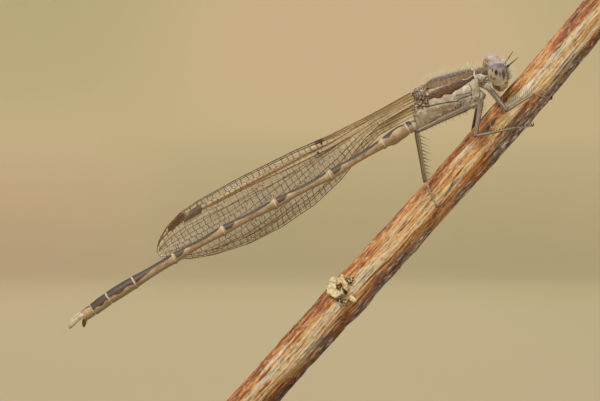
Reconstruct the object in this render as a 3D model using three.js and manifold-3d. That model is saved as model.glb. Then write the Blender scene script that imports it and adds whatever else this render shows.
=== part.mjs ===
// A male winter damselfly at rest, life size, as a still display model. It grips a cut length of dry herb stem with
// all six legs, holds its four wings shut along the left side of its abdomen, and the stem stands on a short rod and
// a flat base. Millimetres, +Z up, +X along the base towards the head, -Y towards the viewer, who sees the right side.
// The origin is the middle of the base's underside.
import * as THREE from "three";
import { LoftGeometry } from "three/addons/geometries/LoftGeometry.js";
import { mergeVertices } from "three/addons/utils/BufferGeometryUtils.js";
import Module from "manifold-3d";

// Gap kept between sub-parts that meet, and the least length of an edge that a cut leaves.
const SEAM = 0.25;
const CLEAN = 0.01;

// Display stand.
const BASE = { length: 41.2, width: 22, height: 3, corner: 4, chamfer: 0.4 };
const ROD = { x: -5.6, radius: 0.8, reach: 6 };

// Dry stem: points of its axis in the plane y = 0, from the lower cut to the upper cut, and its radius at each.
const STEM_AXIS = [
  [-7.52, 5.26],
  [-0.2, 13.38],
  [6.37, 20.67],
  [13.77, 29.25],
  [18.9, 35.09],
];
const STEM_RADII = [1.46, 1.44, 1.38, 1.26, 1.13];
const STEM_SIDES = 20;
const STEM_STATIONS = 15;
const STEM_FLUTE = 0.035;
const SCAR = { along: 0.287, turn: 38, radius: 0.86, hole: 0.42, height: 0.5, sink: 0.4, swelling: 0.12 };

// Body frame: x forward, y to the insect's left, z dorsal, from the joint between thorax and abdomen.
const BODY_AT = [4.64, -0.6, 26.07];
const BODY_PITCH = 30;
const BODY_ROLL = 15;

// Abdomen: length of each segment, its turn from the body axis, and its radii at equal steps from front to back.
const ABDOMEN_START = [0.12, 0, -0.13];
const SEGMENTS = [
  { length: 0.45, droop: 0, radii: [0.45, 0.47, 0.45] },
  { length: 2.05, droop: 1.3, radii: [0.44, 0.53, 0.5, 0.44, 0.39] },
  { length: 4.41, droop: 1, radii: [0.37, 0.35, 0.31, 0.31, 0.32, 0.36, 0.39] },
  { length: 4.47, droop: -2.65, radii: [0.38, 0.34, 0.3, 0.3, 0.31, 0.35, 0.39] },
  { length: 4.18, droop: -2.8, radii: [0.38, 0.34, 0.3, 0.3, 0.31, 0.35, 0.39] },
  { length: 4.03, droop: -0.6, radii: [0.38, 0.34, 0.3, 0.3, 0.31, 0.36, 0.39] },
  { length: 3.33, droop: 1.2, radii: [0.4, 0.385, 0.38, 0.39, 0.42, 0.46] },
  { length: 2.16, droop: 2.2, radii: [0.47, 0.5, 0.5, 0.48] },
  { length: 1.41, droop: 6.7, radii: [0.48, 0.48, 0.45] },
  { length: 0.89, droop: 3.4, radii: [0.43, 0.43, 0.4] },
];
const SEGMENT_SIDES = 14;
const HAMULE = { at: [-1.0, 0, -0.42], radii: [0.42, 0.26, 0.26] };
const CERCUS = {
  path: [
    [-0.28, 0.33, 0.16],
    [-0.72, 0.4, 0.14],
    [-1.14, 0.36, 0.02],
    [-1.45, 0.26, -0.1],
  ],
  radii: [0.2, 0.2, 0.18, 0.11],
};
const PARAPROCT = {
  path: [
    [-0.3, 0, -0.32],
    [-0.48, 0, -0.52],
    [-0.62, 0, -0.74],
  ],
  radii: [0.23, 0.2, 0.1],
};

// Thorax: pairs of points on its back and underside (forward, dorsal), with its half width there, head end first.
const THORAX = [
  { back: [5.9, 0.92], belly: [5.5, -0.42], half: 0.5 },
  { back: [5.8, 1.26], belly: [5.25, -0.9], half: 0.82 },
  { back: [5.2, 1.54], belly: [4.62, -1.06], half: 1.02 },
  { back: [4.36, 1.78], belly: [3.8, -0.92], half: 1.12 },
  { back: [3.52, 2.0], belly: [2.87, -0.8], half: 1.15 },
  { back: [2.86, 2.12], belly: [1.94, -0.7], half: 1.12 },
  { back: [2.15, 1.95], belly: [1.1, -0.65], half: 1.0 },
  { back: [1.36, 1.5], belly: [0.5, -0.62], half: 0.8 },
  { back: [0.55, 0.72], belly: [0.3, -0.56], half: 0.52 },
];
const THORAX_SIDES = 16;
const WING_HINGES = [
  { at: [1.62, 0.62, 1.66], radii: [0.55, 0.34, 0.42] },
  { at: [1.0, 0.58, 0.92], radii: [0.45, 0.32, 0.4] },
];
const COXAE = [
  { at: [5.42, 0.46, -0.68], radii: [0.36, 0.28, 0.34] },
  { at: [4.6, 0.48, -0.95], radii: [0.38, 0.28, 0.3] },
];

// Prothorax and neck, as ellipsoids in the body frame.
const PROTHORAX = [
  { at: [6.1, 0, 0.5], radii: [0.56, 0.7, 0.6] },
  { at: [6.1, 0, 0.02], radii: [0.46, 0.54, 0.42] },
  { at: [6.12, 0.38, -0.26], radii: [0.28, 0.24, 0.3] },
  { at: [6.12, -0.38, -0.26], radii: [0.28, 0.24, 0.3] },
  { at: [6.66, 0, 0.36], radii: [0.42, 0.26, 0.26] },
];

// Head, in its own frame: x towards the face, z towards the crown.
const HEAD_AT = [7.19, 0, 0.31];
const HEAD_NOD = 20;
const HEAD = [
  { at: [0, 0, 0], radii: [0.55, 1.3, 0.62] },
  { at: [-0.02, 0, 0.28], radii: [0.5, 0.95, 0.4] },
  { at: [0.4, 0, 0.04], radii: [0.38, 0.62, 0.44] },
  { at: [0.46, 0, -0.48], radii: [0.34, 0.54, 0.42] },
  { at: [0.08, 0, -0.92], radii: [0.44, 0.5, 0.5] },
];
const LABRUM = { at: [0.34, 0, -1.26], radii: [0.3, 0.4, 0.32] };
const EYE = { at: [0, 1.42, 0.05], radii: [0.72, 0.68, 0.92] };
const ANTENNA = {
  root: [0.5, 0.42, 0.1],
  length: 1.45,
  spread: 0.32,
  radii: [0.25, 0.25, 0.16, 0.08],
  lift: { right: 26, left: 46 },
};

// Legs, in the part's own frame. Each runs root, bend, knee, ankle, toe; the viewer's side is the right.
const LEGS = {
  front_right: {
    femur: [[10.21, -1.05, 28.69], [10.74, -2.0, 27.88], [11.33, -2.7, 27.01]],
    ankle: [13.34, -1.85, 28.21],
    toe: [[14.0, -1.3, 28.06], [14.63, -0.45, 27.96]],
  },
  mid_right: {
    femur: [[9.73, -1.1, 28.14], [9.44, -1.95, 26.78], [9.14, -2.5, 25.2]],
    ankle: [12.11, -1.6, 25.83],
    toe: [[12.72, -1.2, 25.85], [13.32, -0.35, 26.02]],
  },
  hind_right: {
    femur: [[9.14, -1.3, 27.45], [7.31, -2.0, 26.62], [5.05, -2.2, 25.54]],
    ankle: [5.7, -1.55, 22.03],
    toe: [[5.97, -1.9, 21.24], [6.39, -1.95, 20.32]],
  },
  front_left: {
    femur: [[10.15, -0.1, 28.88], [10.89, 1.0, 28.14], [11.65, 2.1, 27.21]],
    ankle: [13.34, 1.8, 28.18],
    toe: [[13.81, 1.82, 28.59], [14.2, 1.72, 29.0]],
  },
  mid_left: {
    femur: [[9.75, -0.1, 28.05], [9.51, 0.95, 26.94], [9.26, 1.9, 25.41]],
    ankle: [11.66, 1.85, 26.36],
    toe: [[12.18, 1.88, 26.83], [12.68, 1.78, 27.28]],
  },
  hind_left: {
    femur: [[9.08, 0.1, 27.59], [7.51, 0.8, 26.79], [5.1, 1.1, 25.72]],
    ankle: [5.73, 1.35, 22.02],
    toe: [[6.56, 1.8, 21.62], [7.3, 1.98, 21.04]],
  },
};
const LEG_RADII = { femur: [0.25, 0.28, 0.25], knee: 0.29, tibia: [0.25, 0.25], ankle: 0.25, tarsus: [0.22, 0.2, 0.1] };
const LEG_SIDES = 8;
const SPINES = {
  radius: 0.15,
  sides: 4,
  turns: [-38, 38],
  shin: { count: 5, length: 0.95, first: 0.16, last: 0.86, lean: 55 },
  thigh: { count: 4, length: 0.62, first: 0.3, last: 0.82, lean: 80 },
};

// Wings. Both outlines run from the root along the wing: distance from the root, then height above the line to the tip.
const WING = {
  membrane: 0.44,
  rib: 0.08,
  ribHalf: 0.1,
  ribs: [0.13, 0.31, 0.49, 0.67, 0.85],
  stations: [0, 0.04, 0.08, 0.127, 0.18, 0.235, 0.3, 0.38, 0.46, 0.55, 0.645, 0.73, 0.8, 0.86, 0.91, 0.95, 0.98, 1],
};
const FOREWING = {
  length: 21.4,
  costa: [
    [0, 0.29], [2.4, 0.36], [6.5, 0.62], [9, 0.92], [13.6, 1.22], [17.1, 1.28], [18.6, 1.16], [19.9, 0.78], [20.8, 0.25],
    [21.2, -0.1], [21.4, -0.42],
  ],
  trail: [
    [0, -0.29], [3.0, -0.34], [4.6, -0.8], [6.8, -1.75], [9.5, -2.4], [12.6, -2.68], [15.2, -2.66], [17.8, -2.25],
    [19.4, -1.75], [20.6, -1.2], [21.2, -0.85], [21.4, -0.66],
  ],
  stigma: [18.35, 19.95],
};
const HINDWING = {
  length: 20.8,
  costa: [
    [0, 0.29], [2.4, 0.36], [6.2, 0.72], [9, 1.12], [13.2, 1.42], [15.8, 1.46], [17.3, 1.26], [18.7, 0.86], [19.9, 0.36],
    [20.5, -0.02], [20.8, -0.36],
  ],
  trail: [
    [0, -0.29], [3.0, -0.34], [4.6, -0.85], [6.8, -1.85], [9.3, -2.55], [12.2, -2.85], [14.8, -2.78], [17.3, -2.3],
    [18.9, -1.75], [20.0, -1.18], [20.6, -0.78], [20.8, -0.6],
  ],
  stigma: [16.6, 18.2],
};
const WINGS = {
  forewing_right: { ...FOREWING, root: [4.86, 27.88], tip: [-13.64, 17.34], rootY: -1.25, planeY: 0.32, bend: 6.5 },
  hindwing_right: { ...HINDWING, root: [4.98, 27.12], tip: [-13.54, 17.13], rootY: -1.2, planeY: 1.17, bend: 4.5 },
  hindwing_left: { ...HINDWING, root: [4.88, 27.33], tip: [-13.5, 17.23], rootY: 0.05, planeY: 2.02, bend: 4.5 },
  forewing_left: { ...FOREWING, root: [4.83, 28.14], tip: [-13.81, 17.39], rootY: 0.05, planeY: 2.87, bend: 4.1 },
};

const wasm = await Module();
wasm.setup();

const vector = (p) => new THREE.Vector3(...p);
const smooth = (t) => THREE.MathUtils.smoothstep(t, 0, 1);
const degrees = THREE.MathUtils.degToRad;

// A closed geometry as a solid, turned the right way out.
function solidOf(geometry) {
  const bare = geometry.index ? geometry.toNonIndexed() : geometry.clone();
  bare.deleteAttribute("normal");
  bare.deleteAttribute("uv");
  const merged = mergeVertices(bare, 1e-4);
  const make = (triVerts) =>
    new wasm.Manifold(
      new wasm.Mesh({ numProp: 3, vertProperties: merged.attributes.position.array, triVerts }),
    );
  const corners = new Uint32Array(merged.index.array);
  const solid = make(corners);
  return solid.volume() > 0 ? solid : make(corners.slice().reverse());
}

function geometryOf(solid) {
  const mesh = solid.getMesh();
  const geometry = new THREE.BufferGeometry()
    .setAttribute("position", new THREE.BufferAttribute(mesh.vertProperties, 3))
    .setIndex(new THREE.BufferAttribute(mesh.triVerts, 1));
  geometry.computeVertexNormals();
  return geometry;
}

const fuse = (solids) => solids.reduce((all, next) => all.add(next));

// A closed skin over rings of points. Each ring is turned to run anticlockwise as seen from the last one.
function loft(sections) {
  const centre = (ring) => ring.reduce((sum, p) => sum.add(p), new THREE.Vector3()).divideScalar(ring.length);
  const middle = centre(sections[0]);
  const ahead = centre(sections[1]).sub(middle);
  const turn = sections[0].reduce((sum, p, i, ring) => {
    const next = ring[(i + 1) % ring.length];
    return sum.add(p.clone().sub(middle).cross(next.clone().sub(middle)));
  }, new THREE.Vector3());
  const rings = turn.dot(ahead) > 0 ? sections : sections.map((ring) => [...ring].reverse());
  return solidOf(new LoftGeometry(rings, { capStart: true, capEnd: true }));
}

// The largest closed piece of a solid, so that a cut leaves no loose scrap.
function largest(solid) {
  return solid.decompose().sort((a, b) => b.volume() - a.volume())[0];
}

function ellipsoid({ at, radii }, grow = 0, across = 12, down = 9) {
  const shape = new THREE.SphereGeometry(1, across, down);
  shape.rotateX(Math.PI / 2);
  shape.scale(...radii.map((r) => r + grow));
  shape.translate(...at);
  return solidOf(shape);
}

const mirrored = ({ at, radii }) => ({ at: [at[0], -at[1], at[2]], radii });

// A ring of points round a path, at each of its points, joined into a closed tapering limb.
function limb(path, radii, sides = LEG_SIDES) {
  const points = path.map((p) => (p.isVector3 ? p : vector(p)));
  let across = new THREE.Vector3();
  const sections = points.map((point, i) => {
    const ahead = points[Math.min(i + 1, points.length - 1)];
    const behind = points[Math.max(i - 1, 0)];
    const along = ahead.clone().sub(behind).normalize();
    if (i === 0) across = Math.abs(along.y) < 0.9 ? new THREE.Vector3(0, 1, 0) : new THREE.Vector3(1, 0, 0);
    across = across.clone().addScaledVector(along, -across.dot(along)).normalize();
    const up = along.clone().cross(across);
    return Array.from({ length: sides }, (_, k) => {
      const angle = (2 * Math.PI * k) / sides;
      return point
        .clone()
        .addScaledVector(across, radii[i] * Math.cos(angle))
        .addScaledVector(up, radii[i] * Math.sin(angle));
    });
  });
  return loft(sections);
}

function meshOf(name, solid, color, roughness = 0.6, extra = {}) {
  const material = new THREE.MeshStandardMaterial({ color, roughness, metalness: 0, ...extra });
  const mesh = new THREE.Mesh(geometryOf(largest(solid.simplify(CLEAN))), material);
  mesh.name = name;
  return mesh;
}

const COLOURS = {
  chitin: 0xc9a878,
  bronze: 0x5c4033,
  pale: 0xcfc2a4,
  eye: 0x8d8790,
  leg: 0x9a8668,
  wing: 0xd8c9a4,
  stem: 0xb9783f,
  base: 0x3a2c22,
  rod: 0x9a9a9c,
};

// Stem.
const stemCurve = new THREE.CatmullRomCurve3(STEM_AXIS.map(([x, z]) => new THREE.Vector3(x, 0, z)));

function stemRadius(t) {
  const place = t * (STEM_RADII.length - 1);
  const i = Math.min(Math.floor(place), STEM_RADII.length - 2);
  const plain = THREE.MathUtils.lerp(STEM_RADII[i], STEM_RADII[i + 1], place - i);
  return plain + SCAR.swelling * Math.exp(-(((t - SCAR.along) / 0.03) ** 2));
}

// Directions across the stem: towards the viewer, and up to the left in the plane of its axis.
function stemFrame(t) {
  const along = stemCurve.getTangentAt(t);
  return { point: stemCurve.getPointAt(t), along, near: new THREE.Vector3(0, -1, 0), rise: new THREE.Vector3(-along.z, 0, along.x) };
}

function stemSolid(grow = 0) {
  const sections = Array.from({ length: STEM_STATIONS + 1 }, (_, i) => {
    const t = i / STEM_STATIONS;
    const { point, near, rise } = stemFrame(t);
    return Array.from({ length: STEM_SIDES }, (_, k) => {
      const angle = (2 * Math.PI * k) / STEM_SIDES;
      const flute = grow ? STEM_FLUTE : STEM_FLUTE * Math.cos(5 * angle + 2 * t);
      const r = stemRadius(t) + flute + grow;
      return point.clone().addScaledVector(near, r * Math.cos(angle)).addScaledVector(rise, r * Math.sin(angle));
    });
  });
  return loft(sections);
}

// A dried leaf scar: a shallow cup with a thick, uneven rim, standing on the stem.
function leafScar() {
  const { radius, hole, height, sink } = SCAR;
  const profile = [
    [0, -sink],
    [radius * 0.75, -sink],
    [radius, height * 0.5],
    [radius * 0.88, height],
    [hole * 1.2, height * 0.86],
    [hole * 0.8, height * 0.3],
    [0, height * 0.2],
  ].map((p) => new THREE.Vector2(...p));
  const shape = new THREE.LatheGeometry(profile, 12);
  const { point, near, rise } = stemFrame(SCAR.along);
  const out = near.clone().multiplyScalar(Math.cos(degrees(SCAR.turn)))
    .addScaledVector(rise, Math.sin(degrees(SCAR.turn)));
  shape.applyQuaternion(new THREE.Quaternion().setFromUnitVectors(new THREE.Vector3(0, 1, 0), out));
  const place = point.addScaledVector(out, stemRadius(SCAR.along) - 0.1);
  shape.translate(place.x, place.y, place.z);
  return solidOf(shape);
}

const stem = stemSolid();
const stemRoom = stemSolid(SEAM);

// Display stand.
function baseSolid() {
  const { length, width, height, corner, chamfer } = BASE;
  const x = length / 2 - chamfer;
  const y = width / 2 - chamfer;
  const c = corner - chamfer;
  const outline = new THREE.Shape();
  outline.moveTo(-x + c, -y);
  outline.lineTo(x - c, -y);
  outline.absarc(x - c, -y + c, c, -Math.PI / 2, 0);
  outline.lineTo(x, y - c);
  outline.absarc(x - c, y - c, c, 0, Math.PI / 2);
  outline.lineTo(-x + c, y);
  outline.absarc(-x + c, y - c, c, Math.PI / 2, Math.PI);
  outline.lineTo(-x, -y + c);
  outline.absarc(-x + c, -y + c, c, Math.PI, 1.5 * Math.PI);
  const slab = new THREE.ExtrudeGeometry(outline, {
    depth: height - 2 * chamfer,
    bevelThickness: chamfer,
    bevelSize: chamfer,
    bevelSegments: 1,
    curveSegments: 6,
  });
  slab.translate(0, 0, chamfer);
  return solidOf(slab);
}

function rodSolid() {
  const rod = new THREE.CylinderGeometry(ROD.radius, ROD.radius, ROD.reach, 16);
  rod.rotateX(Math.PI / 2);
  rod.translate(ROD.x, 0, BASE.height + SEAM + ROD.reach / 2);
  const cut = solidOf(rod).subtract(stemRoom);
  const pieces = cut.decompose().sort((a, b) => a.boundingBox().min[2] - b.boundingBox().min[2]);
  return pieces[0];
}

// Thorax, in the body frame. Grown by the seam it is the room that its neighbours keep clear of.
function thoraxLoft(grow) {
  const ends = THORAX.length - 1;
  const sections = THORAX.map(({ back, belly, half }, i) => {
    const top = new THREE.Vector3(back[0], 0, back[1]);
    const low = new THREE.Vector3(belly[0], 0, belly[1]);
    const middle = top.clone().lerp(low, 0.5);
    const up = top.clone().sub(low).multiplyScalar(0.5);
    const stretch = 1 + grow / up.length();
    const shift = grow * (i === 0 ? 1 : i === ends ? -1 : 0);
    return Array.from({ length: THORAX_SIDES }, (_, k) => {
      const angle = (2 * Math.PI * k) / THORAX_SIDES;
      const rise = Math.sin(angle);
      const roof = 1 - 0.22 * Math.max(rise, 0) ** 2 - 0.12 * Math.max(-rise, 0);
      return middle
        .clone()
        .addScaledVector(up, rise * stretch)
        .add(new THREE.Vector3(shift, (half + grow) * Math.cos(angle) * roof, 0));
    });
  });
  return loft(sections);
}

function thoraxSolid(grow = 0) {
  const knobs = [...WING_HINGES, ...COXAE].flatMap((k) => [k, mirrored(k)]);
  return fuse([thoraxLoft(grow), ...knobs.map((k) => ellipsoid(k, grow, 10, 7))]);
}

// The head nods about the level line across the body, not about the body's own leaning one.
const headFrame = new THREE.Matrix4()
  .makeRotationX(degrees(-BODY_ROLL))
  .multiply(new THREE.Matrix4().makeRotationY(degrees(HEAD_NOD)))
  .multiply(new THREE.Matrix4().makeRotationX(degrees(BODY_ROLL)))
  .setPosition(...HEAD_AT);

const headSolid = (grow = 0) => fuse(HEAD.map((lump) => ellipsoid(lump, grow)));
const prothoraxSolid = (grow = 0) => fuse(PROTHORAX.map((lump) => ellipsoid(lump, grow, 12, 8)));

// Insect, as nested groups in the body frame.
const insect = new THREE.Group();
insect.position.set(...BODY_AT);
insect.rotation.set(degrees(BODY_ROLL), degrees(-BODY_PITCH), 0, "YXZ");
insect.updateMatrix();
const inWorld = (solid) => solid.transform(insect.matrix.elements);

const thoraxRoom = thoraxSolid(SEAM);
insect.add(meshOf("thorax", thoraxSolid(), COLOURS.chitin));

const headRoom = headSolid(SEAM);
const prothorax = prothoraxSolid().subtract(thoraxRoom).subtract(headRoom.transform(headFrame.elements));
insect.add(meshOf("prothorax", prothorax, COLOURS.bronze));

// Head with its eyes, mouthparts and antennae.
const head = new THREE.Group();
head.applyMatrix4(headFrame);
insect.add(head);
const eyes = { right: mirrored(EYE), left: EYE };
const labrumRoom = ellipsoid(LABRUM, SEAM);
const eyeRoom = fuse(Object.values(eyes).map((eye) => ellipsoid(eye, SEAM, 20, 14)));
head.add(meshOf("head", headSolid().subtract(eyeRoom).subtract(labrumRoom), COLOURS.pale));
head.add(meshOf("labrum", ellipsoid(LABRUM), COLOURS.bronze));

for (const [side, eye] of Object.entries(eyes)) {
  head.add(meshOf("eye_" + side, ellipsoid(eye, 0, 18, 12), COLOURS.eye, 0.25));
  const { root, length, spread, radii, lift } = ANTENNA;
  const out = side === "left" ? 1 : -1;
  const start = new THREE.Vector3(root[0], out * root[1], root[2]);
  const rise = degrees(lift[side]);
  const along = new THREE.Vector3(Math.cos(rise), out * spread, Math.sin(rise)).normalize();
  const path = radii.map((_, i) => start.clone().addScaledVector(along, (length * i) / (radii.length - 1)));
  const feeler = limb(path, radii, 8).subtract(headRoom).subtract(eyeRoom);
  head.add(meshOf("antenna_" + side, feeler, COLOURS.bronze));
}

// Abdomen: a chain of turned segments, each in the frame of the one before, ending in the claspers.
function segmentSolid({ length, radii }) {
  const span = length - SEAM;
  const profile = [new THREE.Vector2(0, 0)];
  radii.forEach((r, i) => profile.push(new THREE.Vector2(r, (span * i) / (radii.length - 1))));
  profile.push(new THREE.Vector2(0, span));
  const shape = new THREE.LatheGeometry(profile, SEGMENT_SIDES);
  shape.rotateZ(Math.PI / 2);
  return solidOf(shape);
}

let joint = insect;
let place = vector(ABDOMEN_START);
let bearing = 0;
SEGMENTS.forEach((segment, i) => {
  const link = new THREE.Group();
  link.position.copy(place);
  link.rotation.y = degrees(bearing - segment.droop);
  bearing = segment.droop;
  joint.add(link);
  const plain = segmentSolid(segment);
  const solid = i === 1 ? fuse([plain, ellipsoid(HAMULE, 0, 10, 8)]) : plain;
  link.add(meshOf("abdomen_s" + (i + 1), solid, i > 6 ? COLOURS.bronze : COLOURS.chitin));
  joint = link;
  place = new THREE.Vector3(-segment.length, 0, 0);
});

const claspers = new THREE.Group();
claspers.position.copy(place).add(new THREE.Vector3(SEAM, 0, 0));
joint.add(claspers);
for (const [side, out] of [["right", -1], ["left", 1]]) {
  const path = CERCUS.path.map(([x, y, z]) => [x, out * y, z]);
  claspers.add(meshOf("cercus_" + side, limb(path, CERCUS.radii), COLOURS.pale));
}
claspers.add(meshOf("paraproct", limb(PARAPROCT.path, PARAPROCT.radii), COLOURS.pale));

// Wings, in the part's own frame: one loft each, whose sections carry the main veins as ribs on both faces.
function heightAt(table, s) {
  const next = table.findIndex(([at]) => at > s);
  if (next < 0) return table.at(-1)[1];
  const [s0, h0] = table[next - 1];
  const [s1, h1] = table[next];
  return THREE.MathUtils.lerp(h0, h1, (s - s0) / (s1 - s0));
}

// Half a section, from the leading edge back: the height of each point and how far the skin stands from mid-plane.
function wingSection(wing, s) {
  const high = heightAt(wing.costa, s);
  const low = heightAt(wing.trail, s);
  const width = high - low;
  const half = WING.membrane / 2;
  const rib = WING.rib * Math.min(1, width / 2);
  const side = Math.min(WING.ribHalf / width, 0.05);
  const cell = s >= wing.stigma[0] && s <= wing.stigma[1] ? half + WING.rib : half;
  const [first, ...others] = WING.ribs;
  const rows = [[0, half + rib], [side, cell], [first - side, cell], [first, half + rib], [first + side, half]];
  for (const at of others) rows.push([at - side, half], [at, half + rib], [at + side, half]);
  rows.push([1, half - rib / 2]);
  return rows.map(([share, thick]) => [THREE.MathUtils.lerp(high, low, share), thick]);
}

function wingSolid(wing) {
  const [x0, z0] = wing.root;
  const [x1, z1] = wing.tip;
  const reach = Math.hypot(x1 - x0, z1 - z0);
  const ahead = new THREE.Vector3(x1 - x0, 0, z1 - z0).divideScalar(reach);
  const up = new THREE.Vector3(ahead.z, 0, -ahead.x);
  const stations = [...WING.stations.map((share) => share * wing.length), ...wing.stigma].sort((a, b) => a - b);
  const sections = stations.map((s) => {
    const out = (s * reach) / wing.length;
    const y = THREE.MathUtils.lerp(wing.rootY, wing.planeY, smooth(Math.min(out / wing.bend, 1)));
    const rows = wingSection(wing, s);
    const point = (height, side) =>
      new THREE.Vector3(x0, y + side, z0).addScaledVector(ahead, out).addScaledVector(up, height);
    return [...rows.map(([h, t]) => point(h, -t)), ...rows.reverse().map(([h, t]) => point(h, t))];
  });
  return loft(sections);
}

const part = new THREE.Group();
part.add(meshOf("stand_base", baseSolid(), COLOURS.base, 0.5));
part.add(meshOf("stand_rod", rodSolid(), COLOURS.rod, 0.3, { metalness: 1 }));
part.add(meshOf("perch_stem", fuse([stem, leafScar()]), COLOURS.stem, 0.8));
part.add(insect);

const thoraxRoomInWorld = inWorld(thoraxRoom);
for (const [name, wing] of Object.entries(WINGS)) {
  const glass = { transparent: true, opacity: 0.6 };
  part.add(meshOf(name, wingSolid(wing).subtract(thoraxRoomInWorld), COLOURS.wing, 0.3, glass));
}

// Legs: femur with a knee knob, tibia with two rows of spines and an ankle knob, tarsus with its claw.
function knob(at, radius, grow = 0) {
  return ellipsoid({ at: at.toArray(), radii: [radius, radius, radius] }, grow, 8, 6);
}

// Two rows of spines down a limb from start to end. They stand on the side that faces the point `towards`.
function spines(start, end, towards, { count, length, first, last, lean }) {
  const down = end.clone().sub(start);
  const reach = down.length();
  down.normalize();
  const inner = towards.clone().sub(start);
  inner.addScaledVector(down, -inner.dot(down)).normalize();
  return SPINES.turns.flatMap((turn) => {
    const flat = inner.clone().applyAxisAngle(down, degrees(turn));
    const heading = down.clone().multiplyScalar(Math.cos(degrees(lean)));
    heading.addScaledVector(flat, Math.sin(degrees(lean)));
    return Array.from({ length: count }, (_, i) => {
      const share = THREE.MathUtils.lerp(first, last, i / (count - 1));
      const long = length * (1 - 0.35 * share);
      const spine = new THREE.ConeGeometry(SPINES.radius, long, SPINES.sides);
      spine.translate(0, long / 2, 0);
      spine.applyQuaternion(new THREE.Quaternion().setFromUnitVectors(new THREE.Vector3(0, 1, 0), heading));
      const foot = start.clone().addScaledVector(down, reach * share).addScaledVector(flat, 0.1);
      spine.translate(foot.x, foot.y, foot.z);
      return solidOf(spine);
    });
  });
}

const bodyRoom = fuse([thoraxRoomInWorld, inWorld(prothoraxSolid(SEAM))]);
for (const [name, leg] of Object.entries(LEGS)) {
  const femur = leg.femur.map(vector);
  const knee = femur.at(-1);
  const ankle = vector(leg.ankle);
  const toes = leg.toe.map(vector);
  const kneeRoom = knob(knee, LEG_RADII.knee, SEAM);
  const ankleRoom = knob(ankle, LEG_RADII.ankle, SEAM);
  const thigh = fuse([
    limb(femur, LEG_RADII.femur),
    knob(knee, LEG_RADII.knee),
    ...spines(femur[1], knee, ankle, SPINES.thigh),
  ]);
  part.add(meshOf("femur_" + name, thigh.subtract(bodyRoom).subtract(stemRoom), COLOURS.leg));

  const shin = fuse([
    limb([knee, ankle], LEG_RADII.tibia),
    knob(ankle, LEG_RADII.ankle),
    ...spines(knee, ankle, femur[1], SPINES.shin),
  ]);
  part.add(meshOf("tibia_" + name, shin.subtract(kneeRoom).subtract(stemRoom), COLOURS.leg));

  const foot = limb([ankle, ...toes], LEG_RADII.tarsus);
  part.add(meshOf("tarsus_" + name, foot.subtract(ankleRoom).subtract(stemRoom), COLOURS.leg));
}

export default part;
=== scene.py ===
"""A male winter damselfly at rest on a dry stem, as a still display model.

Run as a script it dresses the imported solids: it makes each piece through the operators below, in millimetres,
and brings it to metres when it is done.
"""

import math
import random

import bpy
import numpy as np
from bpy.props import FloatProperty, FloatVectorProperty, IntProperty, PointerProperty
from mathutils import Matrix, Quaternion, Vector, noise


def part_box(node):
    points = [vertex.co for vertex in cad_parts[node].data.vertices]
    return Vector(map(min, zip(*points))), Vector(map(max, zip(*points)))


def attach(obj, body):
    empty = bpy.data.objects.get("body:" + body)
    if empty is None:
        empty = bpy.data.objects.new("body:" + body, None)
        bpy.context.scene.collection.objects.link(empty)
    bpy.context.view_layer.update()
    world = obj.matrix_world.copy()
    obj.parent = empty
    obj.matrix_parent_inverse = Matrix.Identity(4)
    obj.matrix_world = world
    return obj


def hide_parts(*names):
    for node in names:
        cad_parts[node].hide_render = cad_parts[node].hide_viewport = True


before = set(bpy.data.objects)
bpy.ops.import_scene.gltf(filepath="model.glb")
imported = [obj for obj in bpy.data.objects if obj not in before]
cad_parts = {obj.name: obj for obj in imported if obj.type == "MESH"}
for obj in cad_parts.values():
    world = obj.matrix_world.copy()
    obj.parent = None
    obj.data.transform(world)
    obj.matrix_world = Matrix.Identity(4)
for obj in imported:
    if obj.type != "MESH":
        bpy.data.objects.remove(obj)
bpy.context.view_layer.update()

bl_info = {
    "name": "Winter damselfly on a dry stem",
    "version": (1, 0, 0),
    "blender": (4, 5, 0),
    "location": "View3D > Sidebar > Damselfly",
    "description": "Makes a life-size damselfly that grips a dry stem on a small stand",
    "category": "Add Mesh",
}

MM = 1000  # millimetres in a metre

# Body frame: x forward, y to the insect's left, z towards its back, from the joint of thorax and abdomen.
BODY = (
    Matrix.Translation((4.64, -0.6, 26.07))
    @ Matrix.Rotation(math.radians(-30), 4, "Y")
    @ Matrix.Rotation(math.radians(15), 4, "X")
)
HEAD = (
    BODY
    @ Matrix.Translation((7.19, 0, 0.31))
    @ Matrix.Rotation(math.radians(-15), 4, "X")
    @ Matrix.Rotation(math.radians(20), 4, "Y")
    @ Matrix.Rotation(math.radians(15), 4, "X")
)

# Stem: points of its axis in the plane y = 0, from the lower cut to the upper one, and its radius at each.
STEM_AXIS = ((-7.52, 5.26), (-0.2, 13.38), (6.4, 20.64), (13.91, 29.13), (18.78, 34.95))
STEM_RADII = (1.46, 1.44, 1.4, 1.45, 1.36)
STEM_ROWS, STEM_SIDES = 620, 144
SCAR_ALONG, SCAR_TURN, SCAR_SUNK = 0.287, 38, 0.1
# Leaf scar: radius and height of its wall, from the middle of its foot over the rim to the middle of the cup,
# then the places and radii of the torn petals.
SCAR_PROFILE = (
    (0.02, -0.35), (0.62, -0.35), (0.78, 0.0), (0.86, 0.26), (0.84, 0.36), (0.7, 0.37), (0.5, 0.3),
    (0.34, 0.27), (0.26, 0.14), (0.2, -0.05), (0.03, -0.1),
)
SCAR_PETALS = (
    ((0.12, 1.12, -0.34), (0.19, 0.42, 0.1)),
    ((0.8, -0.5, 0.05), (0.1, 0.16, 0.14)),
    ((0.3, -0.1, 0.3), (0.17, 0.1, 0.1)),
)
SCAR_CRUMBS = 90

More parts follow.
